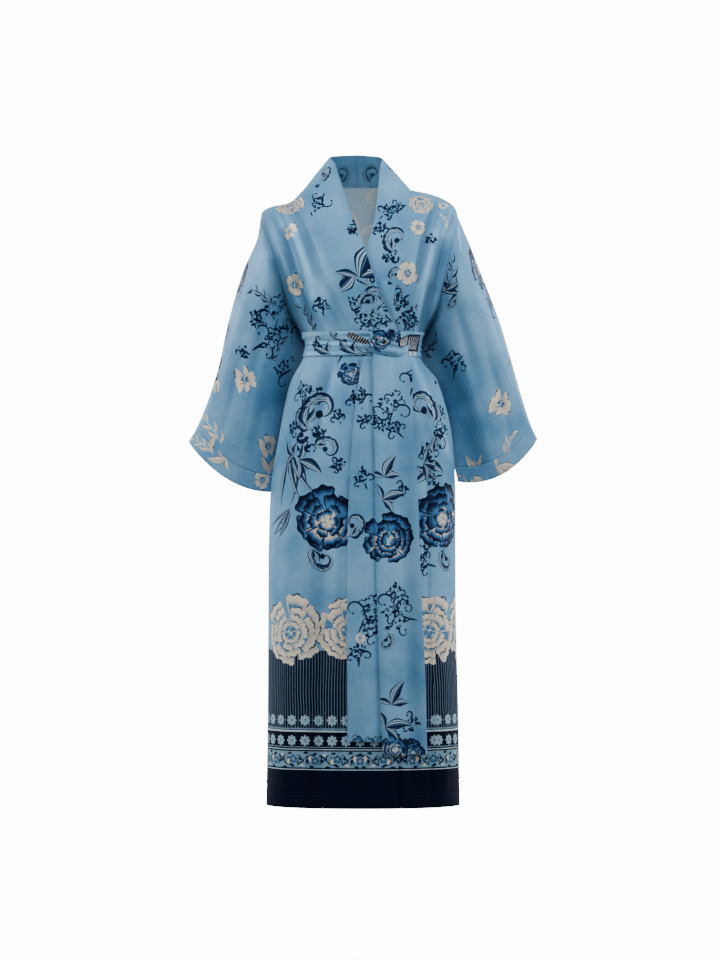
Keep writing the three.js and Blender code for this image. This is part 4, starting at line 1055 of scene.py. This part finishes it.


# painted shade lines (depth above 0) and painted highlight lines (below 0), where the front view shows deep and
# bright lines: pieces, from x, z to x, z, half width, depth
paintedFoldLines = [
    ("front_right sleeve_right back", -219, -30, -190, -133, 10, 1.1),
    ("front_right sleeve_right back", -190, -133, -126, -300, 13, 1.4),
    ("front_right", -150, -62, -122, -150, 7, -0.9), ("front_right", -122, -150, -105, -220, 8, -0.8),
    ("front_right", -105, -215, -72, -290, 7, -0.5), ("front_right", -140, -170, -96, -290, 10, 0.6),
    ("front_right", -166, -70, -150, -150, 7, 0.6), ("front_right", -92, -130, -76, -230, 12, -0.4),
    ("front_left", 152, -75, 130, -190, 7, -0.7), ("front_left sleeve_left", 168, -95, 144, -200, 10, 0.9),
    ("front_left sleeve_left", 146, -190, 122, -300, 12, 1.4), ("front_left", 132, -180, 112, -290, 5, -0.8),
    ("front_left", 100, -240, 92, -290, 6, 0.6), ("sleeve_left", 204, -52, 209, -112, 2, -1.0),
    ("sleeve_left", 150, -290, 214, -430, 22, 1.2), ("sleeve_left", 214, -430, 250, -560, 18, 0.8),
    ("sleeve_left", 205, -150, 250, -330, 16, -0.25), ("sleeve_left", 250, -330, 290, -470, 18, -0.25),
    ("sleeve_right", -150, -290, -176, -430, 32, 0.9), ("sleeve_right", -176, -430, -196, -560, 24, 0.6),
    ("sleeve_right", -206, -120, -236, -300, 14, -0.35), ("sleeve_right", -236, -300, -262, -450, 16, -0.3),
    ("front_right", -120, -400, -160, -560, 14, 0.35), ("front_right", -60, -380, -84, -470, 9, -0.4),
    ("front_left back", 104, -335, 190, -560, 6, -0.7), ("front_left back", 92, -345, 150, -520, 9, 0.6),
    ("sash_wrap", -127, -313, -71, -316, 1.6, 1.0), ("sash_wrap", -101, -302, -37, -305, 1.5, 1.0),
    ("sash_wrap", -122, -323, -24, -327, 1.6, 0.8), ("sash_wrap", -112, -308, -28, -312, 2.5, -0.6),
    ("sash_wrap", -118, -332, -20, -335, 2.5, -0.4), ("sash_wrap", -120, -292, -30, -290, 2.5, -0.3),
    ("neck_band_right front_right", -8, -350, -26, -560, 3, 0.9),
    ("neck_band_right front_right", -30, -600, -35, -1157, 3, 0.8),
    ("sash_tail_under", 16, -345, 25, -620, 4, 0.8), ("sash_tail_under", 25, -620, 34, -1157, 5, 0.6),
    ("sash_tail_over", 18, -345, 24, -620, 1.2, 1.0),
    ("sash_knot", 16, -296, 60, -318, 2, 0.9), ("sash_knot", 24, -286, 88, -302, 2, 0.8),
    ("sash_knot", 78, -296, 96, -330, 2, -1.0), ("sash_knot", 18, -326, 70, -334, 3, 0.9),
]


# painted shade in the cloth's hollows, read over two spans, in columns; the painted shade and highlight lines show
# only where the cloth faces the front
paintedShading = {"spans": (3, 7), "hollow": 0.9, "palest": -0.22, "deepest": 0.6, "facing": 4}


def paintedFoldShade(name, piece):
    # painted shade (above 0) or painted highlight (below 0) for the cloth's colour: its hollows, then the lines above
    grid, normals = piece["grid"], piece["normals"]
    shade = np.zeros(grid.shape[:2])
    for span in paintedShading["spans"]:
        k = np.arange(len(grid))
        if piece["ring"]:
            before, after = (k - span) % len(grid), (k + span) % len(grid)
        else:
            before, after = np.maximum(k - span, 0), np.minimum(k + span, len(grid) - 1)
        hollow = np.sum(((grid[before] + grid[after]) / 2 - grid) * normals, axis=2)
        shade += hollow / span**1.5 * paintedShading["hollow"]
    shade = np.clip(shade, paintedShading["palest"], paintedShading["deepest"])
    deepest, brightest = np.zeros(shade.shape), np.zeros(shade.shape)
    facing = np.clip(-normals[..., 1] * paintedShading["facing"], 0, 1)
    spots = grid[..., [0, 2]]
    for names, x0, z0, x1, z1, width, depth in paintedFoldLines:
        if name in names.split():
            start, move = np.array([x0, z0]), np.array([x1 - x0, z1 - z0])
            t = np.clip((spots - start) @ move / (move @ move), 0, 1)
            far = np.linalg.norm(spots - start - t[..., None] * move, axis=-1)
            bell = depth * np.exp(-((far / width) ** 2)) * facing
            deepest, brightest = np.maximum(deepest, bell), np.minimum(brightest, bell)
    return shade + deepest + brightest


# Colours and shader nodes

def colour(text, alpha=1.0):
    # an sRGB hex value as linear light
    values = np.array([int(text[k:k + 2], 16) for k in (1, 3, 5)]) / 255
    linear = np.where(values <= 0.04045, values / 12.92, ((values + 0.055) / 1.055) ** 2.4)
    return (*linear, alpha)


def add(tree, kind, *values, stops=(), **more):
    # one node: "Math ADD" and "Mix RGBA" give its mode, and values go to the inputs that show, in order; in more,
    # names in small letters are settings and names with a capital inputs; a node as a value stands for its output
    kind, _, mode = kind.partition(" ")
    node = tree.nodes.new("ShaderNode" + kind)
    if mode:
        setattr(node, "operation" if kind == "Math" else "data_type", mode)
    for key, value in more.items():
        if key[0].islower():
            setattr(node, key, value)
    shown = [socket for socket in node.inputs if socket.enabled]
    named = [(node.inputs[key.replace("_", " ")], value) for key, value in more.items() if key[0].isupper()]
    for socket, value in [*zip(shown, values), *named]:
        if isinstance(value, bpy.types.Node):
            value = next(output for output in value.outputs if output.enabled)
        if isinstance(value, bpy.types.NodeSocket):
            tree.links.new(value, socket)
        else:
            socket.default_value = value
    if stops:
        elements = node.color_ramp.elements
        while len(elements) < len(stops):
            elements.new(0.5)
        for element, (place, value) in zip(elements, stops):
            element.position, element.color = place, value
    return node


# the deep teal #08465F is painted shade, not a dye: the folds multiply the cloth's colour towards it
ink = {
    "ground": "#5687AC", "groundDeep": "#46779E", "groundPale": "#6A99BC", "paintedShade": "#08465F",
    "navy": "#040A1C", "night": "#0C1A38", "mid": "#33618F", "steel": "#3F6A90", "cream": "#B4AE9F",
    "creamPale": "#C6C1B4", "outline": "#2C3A52", "bandGround": "#5F839B", "pale": "#9FB6C6", "stripe": "#5B7690",
    "rosette": "#7C9AB0", "thread": "#141F3A",
}
# the colours along a petal from its foot to its rim, and across a leaf or line from side to side
petalStops = [
    [(0, "cream"), (0.42, "cream"), (0.62, "mid"), (0.82, "night"), (0.93, "navy"), (1, "navy")],
    [(0, "mid"), (0.48, "mid"), (0.74, "night"), (0.89, "navy"), (1, "navy")],
    [(0, "steel"), (0.46, "steel"), (0.64, "cream"), (0.89, "creamPale"), (0.93, "outline"), (1, "outline")],
    [(0, "steel"), (0.22, "steel"), (0.4, "cream"), (0.88, "creamPale"), (0.92, "outline"), (1, "outline")],
]
lineStops = [
    [(0, "navy"), (0.14, "night"), (0.36, "night"), (0.43, "steel"), (0.47, "navy"), (0.53, "navy"),
     (0.56, "pale"), (0.67, "ground"), (0.7, "navy"), (0.75, "navy"), (0.78, "pale"), (0.87, "ground"),
     (0.91, "navy"), (1, "navy")],
    [(0, "outline"), (0.1, "cream"), (0.45, "cream"), (0.5, "steel"), (0.56, "creamPale"), (0.9, "creamPale"),
     (0.94, "outline"), (1, "outline")],
    [(0, "navy"), (0.5, "night"), (1, "navy")],
    [(0, "pale"), (1, "creamPale")],
]


def toneRamp(tree, tone, place, rows):
    # one ramp with a stretch for each tone, which ends a little short of the next one's
    stops = [((row + at * 0.985) / len(rows), colour(ink[name]))
             for row, stopRow in enumerate(rows) for at, name in stopRow]
    held = add(tree, "Math MINIMUM", add(tree, "Math MAXIMUM", place, 0.01), 0.975)
    spot = add(tree, "Math DIVIDE", add(tree, "Math ADD", tone, held), len(rows))
    return add(tree, "ValToRGB", spot, stops=stops)


strokeLook = {
    "scallops": 7.5, "scallopDepth": 0.05,  # waves along a petal's end, and their share of its length
    "grain": 0.22,  # how far the dye's grain shifts the colours of a petal
    "corner": 2.2,  # how square the bands of colour run round a petal's end
}


def makeStrokeGroup():
    # one stroke over what lies under it: its half width is (clamp(share / rise) * clamp((1 - share) / fall)) ^ power
    tree = bpy.data.node_groups.new("printed stroke", "ShaderNodeTree")
    for name, way, kind in (("Under", "INPUT", "Color"), ("Shape", "INPUT", "Vector"), ("Profile", "INPUT", "Vector"),
                            ("Grain", "INPUT", "Float"), ("Colour", "OUTPUT", "Color")):
        tree.interface.new_socket(name, in_out=way, socket_type="NodeSocket" + kind)
    start = tree.nodes.new("NodeGroupInput")
    share, across, tone = add(tree, "SeparateXYZ", start.outputs["Shape"]).outputs
    rise, fall, power = add(tree, "SeparateXYZ", start.outputs["Profile"]).outputs
    isPetal = add(tree, "Math LESS_THAN", tone, len(petalStops) - 0.5)
    # petals have a scalloped end: the share is shifted by a wave across the width
    wave = add(tree, "Math COSINE", add(tree, "Math MULTIPLY", across, strokeLook["scallops"]))
    atEnd = add(tree, "Math MULTIPLY", isPetal, share)
    depth = add(tree, "Math MULTIPLY", wave, -strokeLook["scallopDepth"])
    shifted = add(tree, "Math ADD", share, add(tree, "Math MULTIPLY", depth, atEnd))
    rising = add(tree, "Math DIVIDE", shifted, rise, use_clamp=True)
    falling = add(tree, "Math DIVIDE", add(tree, "Math SUBTRACT", 1.0, shifted), fall, use_clamp=True)
    form = add(tree, "Math MULTIPLY", rising, falling)
    width = add(tree, "Math MAXIMUM", add(tree, "Math POWER", form, power), 0.0001)
    outwards = add(tree, "Math DIVIDE", add(tree, "Math ABSOLUTE", across), width)
    inLength = add(tree, "Math GREATER_THAN", form, 0.001)
    inside = add(tree, "Math MULTIPLY", add(tree, "Math LESS_THAN", outwards, 1.0), inLength)
    petalPlace = add(tree, "Math MAXIMUM", shifted, add(tree, "Math POWER", outwards, strokeLook["corner"]))
    grained = add(tree, "Math MULTIPLY_ADD", start.outputs["Grain"], strokeLook["grain"], petalPlace)
    petals = toneRamp(tree, tone, grained, petalStops)
    leafPlace = add(tree, "Math MULTIPLY_ADD", add(tree, "Math DIVIDE", across, width), 0.5, 0.5)
    lines = toneRamp(tree, add(tree, "Math SUBTRACT", tone, len(petalStops)), leafPlace, lineStops)
    drawn = add(tree, "Mix RGBA", isPetal, lines, petals)
    mixed = add(tree, "Mix RGBA", inside, start.outputs["Under"], drawn)
    end = tree.nodes.new("NodeGroupOutput")
    tree.links.new(mixed.outputs[2], end.inputs["Colour"])
    return tree


strokeGroup = makeStrokeGroup()


def rosette(tree, across, up, middle):
    # eight petals round a heart: their reach follows the cosine of four times the angle
    size = hem["rosetteSize"]
    x = add(tree, "Math PINGPONG", across, hem["rosetteStep"] / 2)
    z = add(tree, "Math SUBTRACT", up, middle)
    squares = [add(tree, "Math MULTIPLY", side, side) for side in (x, z)]
    radius = add(tree, "Math SQRT", add(tree, "Math ADD", *squares))
    turned = add(tree, "Math MULTIPLY", add(tree, "Math ARCTAN2", z, x), 4.0)
    lobe = add(tree, "Math POWER", add(tree, "Math ABSOLUTE", add(tree, "Math COSINE", turned)), 0.45)
    reach = add(tree, "Math MULTIPLY_ADD", lobe, 0.62 * size, 0.38 * size)
    outside = add(tree, "Math GREATER_THAN", radius, hem["rosetteRing"])
    petals = add(tree, "Math MULTIPLY", add(tree, "Math LESS_THAN", radius, reach), outside)
    return add(tree, "Math MAXIMUM", petals, add(tree, "Math LESS_THAN", radius, hem["rosetteHeart"]))


def hemColour(tree, ground):
    # the border by height over the hem: plain, vine band, two rows of rosettes, pinstripes
    place = add(tree, "SeparateXYZ", add(tree, "UVMap", uv_map="cloth")).outputs
    across, up = (add(tree, "Math MULTIPLY", place[k], 1 / mm) for k in (0, 1))
    coordinates = add(tree, "TexCoord").outputs["Object"]
    sway = add(tree, "TexNoise", Vector=coordinates, Scale=hem["swayScale"], Detail=1.0).outputs["Fac"]
    drift = add(tree, "Math MULTIPLY_ADD", sway, hem["sway"], across)
    cycle = add(tree, "Math FRACT", add(tree, "Math DIVIDE", drift, hem["stripeStep"]))
    aside = add(tree, "Math ABSOLUTE", add(tree, "Math SUBTRACT", cycle, 0.5))
    above = add(tree, "Math GREATER_THAN", up, hem["stripeFoot"])
    stripes = add(tree, "Math MULTIPLY", add(tree, "Math LESS_THAN", aside, hem["stripeHalf"]), above)
    wave = add(tree, "Math SINE", add(tree, "Math MULTIPLY", across, 0.05))
    top = add(tree, "Math MULTIPLY_ADD", wave, hem["stripeRise"], hem["stripeTop"])
    bands = add(tree, "ValToRGB", add(tree, "Math DIVIDE", up, hem["bandTop"]),
                stops=[(low / hem["bandTop"], colour(ink[name])) for low, name in hem["bands"]])
    bands.color_ramp.interpolation = "CONSTANT"
    striped = add(tree, "Mix RGBA", stripes, bands, colour(ink["stripe"]))
    rows = [rosette(tree, across, up, middle) for middle in hem["rosettes"]]
    flowered = add(tree, "Mix RGBA", add(tree, "Math MAXIMUM", *rows), striped, colour(ink["rosette"]))
    # a stitched line where the hem is turned up
    low, high = hem["stitch"]
    over = add(tree, "Math GREATER_THAN", up, low)
    onLine = add(tree, "Math MULTIPLY", over, add(tree, "Math LESS_THAN", up, high))
    repeat = add(tree, "Math FRACT", add(tree, "Math DIVIDE", across, hem["stitchStep"]))
    stitch = add(tree, "Math MULTIPLY", onLine, add(tree, "Math LESS_THAN", repeat, hem["stitchShare"]))
    stitched = add(tree, "Mix RGBA", stitch, flowered, colour(ink["thread"]))
    return add(tree, "Mix RGBA", add(tree, "Math LESS_THAN", up, top), ground, stitched)


# noise scales are in waves a metre; the real threads, about 0.3 mm apart, are too fine to show and drawn coarser
weave = {
    "cloud": 11.0,  # the dye takes unevenly, in clouds 90 mm wide
    "slub": 420.0, "slubShare": 0.25,  # thicker threads, 2.4 mm, and their share in the mottling
    "mottle": (0.34, 0.66),  # noise that gives the deep and the pale ground
    "thread": 700.0, "threadHeight": 0.0005, "bump": 0.2,  # 1.4 mm
    "dyeGrain": 260.0,  # 4 mm, the colour inside the petals
    "rough": 0.6, "sheenRough": 0.35, "specular": 0.03,
    "paintedShade": 0.5, "paintedHighlight": (2.0, 1.85, 1.7, 1.0),  # how far the painted shade darkens and the painted highlight brightens the cloth's colour
}


def printColour(tree, ground):
    # the strokes of each cell over the ground, the top one last
    coordinates = add(tree, "TexCoord").outputs["Object"]
    grain = add(tree, "TexNoise", Vector=coordinates, Scale=weave["dyeGrain"], Detail=2.0).outputs["Fac"]
    centred = add(tree, "Math SUBTRACT", grain, 0.5)
    result = ground
    for layer in reversed(range(layerCount)):
        shape, profile = (add(tree, "Attribute", attribute_name="%s%d" % (name, layer)).outputs["Vector"]
                          for name in ("shape", "profile"))
        result = add(tree, "Group", node_tree=strokeGroup, Under=result, Grain=centred, Shape=shape, Profile=profile)
    return result


def makeVoile(name, shine, tint=None, cover=0.0):
    # light cotton voile, plain weave, printed with reactive dye: matt, with a soft sheen at a slant;
    # the ground is mottled by the weave; painted shade deepens the colour towards a dark teal in the folds' hollows
    # and along the drawn lines, and painted highlight makes the ridges paler
    material = bpy.data.materials.new(name)
    material.use_nodes = True
    tree = material.node_tree
    tree.nodes.clear()
    coordinates = add(tree, "TexCoord").outputs["Object"]
    cloud, slub, thread = (
        add(tree, "TexNoise", Vector=coordinates, Scale=weave[size], Detail=detail).outputs["Fac"]
        for size, detail in (("cloud", 4.0), ("slub", 1.0), ("thread", 0.0)))
    clouded = add(tree, "Math MULTIPLY", cloud, 1 - weave["slubShare"])
    amount = add(tree, "Math MULTIPLY_ADD", slub, weave["slubShare"], clouded)
    grounds = [colour(ink[name]) for name in ("groundDeep", "groundPale")]
    base = add(tree, "ValToRGB", amount, stops=list(zip(weave["mottle"], grounds)))
    printed = printColour(tree, hemColour(tree, base))
    # painted shade and painted highlight: the fold attribute darkens the print towards the deep teal in hollows and
    # brightens it on ridges
    fold = add(tree, "Attribute", attribute_name="fold").outputs["Fac"]
    deep = add(tree, "MapRange", Value=fold, From_Min=0.0, From_Max=1.0, To_Max=weave["paintedShade"])
    shaded = add(tree, "Mix RGBA", deep, printed, colour(ink["paintedShade"]), blend_type="MULTIPLY")
    light = add(tree, "MapRange", Value=fold, From_Min=0.0, From_Max=-1.0, To_Max=1.0)
    shaded = add(tree, "Mix RGBA", light, shaded, weave["paintedHighlight"], blend_type="MULTIPLY")
    if tint:
        # the inner side: the print comes through a veil of the tint; a pale tint is partly painted light, a dark tint
        # is painted shade
        shaded = add(tree, "Mix RGBA", cover, shaded, colour(tint))
    bump = add(tree, "Bump", Strength=weave["bump"], Distance=weave["threadHeight"], Height=thread)
    shader = add(tree, "BsdfPrincipled", Base_Color=shaded, Roughness=weave["rough"], Sheen_Weight=shine,
                 Sheen_Roughness=weave["sheenRough"], Specular_IOR_Level=weave["specular"], Normal=bump)
    add(tree, "OutputMaterial", shader)
    return material


voile = makeVoile("cotton voile, printed", 0.015)
# the back of the print has a pale tint, partly the paler reverse of the dye and partly painted light for light that
# comes through the thin cloth; the collar bands have a dark tint that is painted shade
voileInsidePaintedLight = makeVoile("cotton voile, back of the print, with painted light", 0.01, "#CFE9F7", 0.6)
bandInsidePaintedShade = makeVoile("cotton voile, doubled, with painted collar shade", 0.01, "#2E5C7E", 0.42)
# each piece's slot, its width and length in metres before it was sewn, and how it is held; a sleeve and a cuff
# are measured all round
cut = {
    "back": ("print_cloth", 0.60, 1.36, "draped"), "front_right": ("print_cloth", 0.25, 1.37, "draped"),
    "front_left": ("print_cloth", 0.15, 1.36, "draped"),
    "neck_band_right": ("band_cloth", 0.082, 1.55, "draped"), "neck_band_left": ("band_cloth", 0.08, 1.53, "draped"),
    "sleeve_right": ("print_cloth", 0.52, 0.42, "hung"), "sleeve_left": ("print_cloth", 0.52, 0.42, "hung"),
    "cuff_right": ("cuff_cloth", 0.50, 0.037, "hung"), "cuff_left": ("cuff_cloth", 0.48, 0.036, "hung"),
    "sash_wrap": ("sash_cloth", 0.73, 0.058, "stretched"), "sash_knot": ("sash_cloth", 0.11, 0.07, "folded"),
    "sash_tail_over": ("sash_cloth", 0.10, 0.854, "hung"), "sash_tail_under": ("sash_cloth", 0.098, 0.822, "hung"),
}
# each piece gets its painted fold shade and highlight, then its cloth
for name, (slot, width, length, held) in cut.items():
    pieces[name]["fold"] = paintedFoldShade(name, pieces[name])
    cloth = makeCloth(name, [voile, bandInsidePaintedShade if "band" in name else voileInsidePaintedLight])
print("cloth made")

# Studio, in metres: a low round of pale board under the robe, white all round, soft light and a long lens
studio = {
    "floor": -1.7, "radius": 0.58, "thick": 0.03, "corners": 96,
    "air": 0.27, "white": 14.0,  # how bright the air round the robe is, as a light and to the camera
    "lens": 157.0, "distance": 9.0, "middleX": -0.0065, "middleZ": -0.602,
    # name, place, aim, size, watts, spread of the beam in degrees
    "lights": [
        ("window left", (-3.0, -1.4, 0.9), (0, 0, -0.3), 2.0, 28, 90),
        ("window right", (3.0, -1.2, 0.8), (0, 0, -0.3), 2.0, 28, 90),
        ("overhead", (0, -2.2, 1.6), (0, 0, -0.05), 1.2, 5, 46),
        ("behind left", (-2.6, 2.2, 0.4), (0, 0, -0.6), 2.0, 40, 90),
        ("behind right", (2.6, 2.2, 0.4), (0, 0, -0.6), 2.0, 40, 90),
    ],
}


def makeFloor():
    # a flat round board of painted fibreboard, matt, which gives the eye nothing but its edge
    work = bmesh.new()
    bmesh.ops.create_cone(work, cap_ends=True, segments=studio["corners"], radius1=studio["radius"],
                          radius2=studio["radius"], depth=studio["thick"])
    bmesh.ops.translate(work, verts=work.verts, vec=(0, 0, studio["floor"] - studio["thick"] / 2))
    mesh = bpy.data.meshes.new("floor")
    work.to_mesh(mesh)
    work.free()
    thing = bpy.data.objects.new("floor", mesh)
    bpy.context.collection.objects.link(thing)
    board = bpy.data.materials.new("painted board, matt white")
    board.use_nodes = True
    shader = board.node_tree.nodes["Principled BSDF"]
    shader.inputs["Base Color"].default_value = colour("#F4F4F3")
    shader.inputs["Roughness"].default_value = 0.9
    mesh.materials.append(board)


def addLight(name, place, aim, size, power, spread):
    # a square of light that faces its aim and that the camera doesn't see
    data = bpy.data.lights.new(name, "AREA")
    data.size = size
    data.energy = power
    data.spread = math.radians(spread)
    thing = bpy.data.objects.new(name, data)
    bpy.context.collection.objects.link(thing)
    way = np.subtract(aim, place)
    flat = math.hypot(way[0], way[1])
    thing.location = place
    thing.visible_camera = False
    thing.rotation_euler = (math.atan2(flat, -way[2]), 0, math.atan2(-way[0], way[1]))


makeFloor()
for light in studio["lights"]:
    addLight(*light)
# the air round it is a soft white that the camera sees as the pale ground of the photo
world = bpy.data.worlds.new("studio")
world.use_nodes = True
air = world.node_tree.nodes["Background"]
air.inputs["Color"].default_value = colour("#FFFFFF")
seen = add(world.node_tree, "LightPath").outputs["Is Camera Ray"]
strength = add(world.node_tree, "MapRange", Value=seen, To_Min=studio["air"], To_Max=studio["white"])
world.node_tree.links.new(strength.outputs[0], air.inputs["Strength"])
bpy.context.scene.world = world

cameraData = bpy.data.cameras.new("camera")
cameraData.lens = studio["lens"]
cameraData.sensor_width = 36.0
cameraData.sensor_fit = "AUTO"
camera = bpy.data.objects.new("camera", cameraData)
bpy.context.collection.objects.link(camera)
camera.location = (studio["middleX"], -studio["distance"], studio["middleZ"])
camera.rotation_euler = (math.pi / 2, 0, 0)
bpy.context.scene.camera = camera
print("studio made")
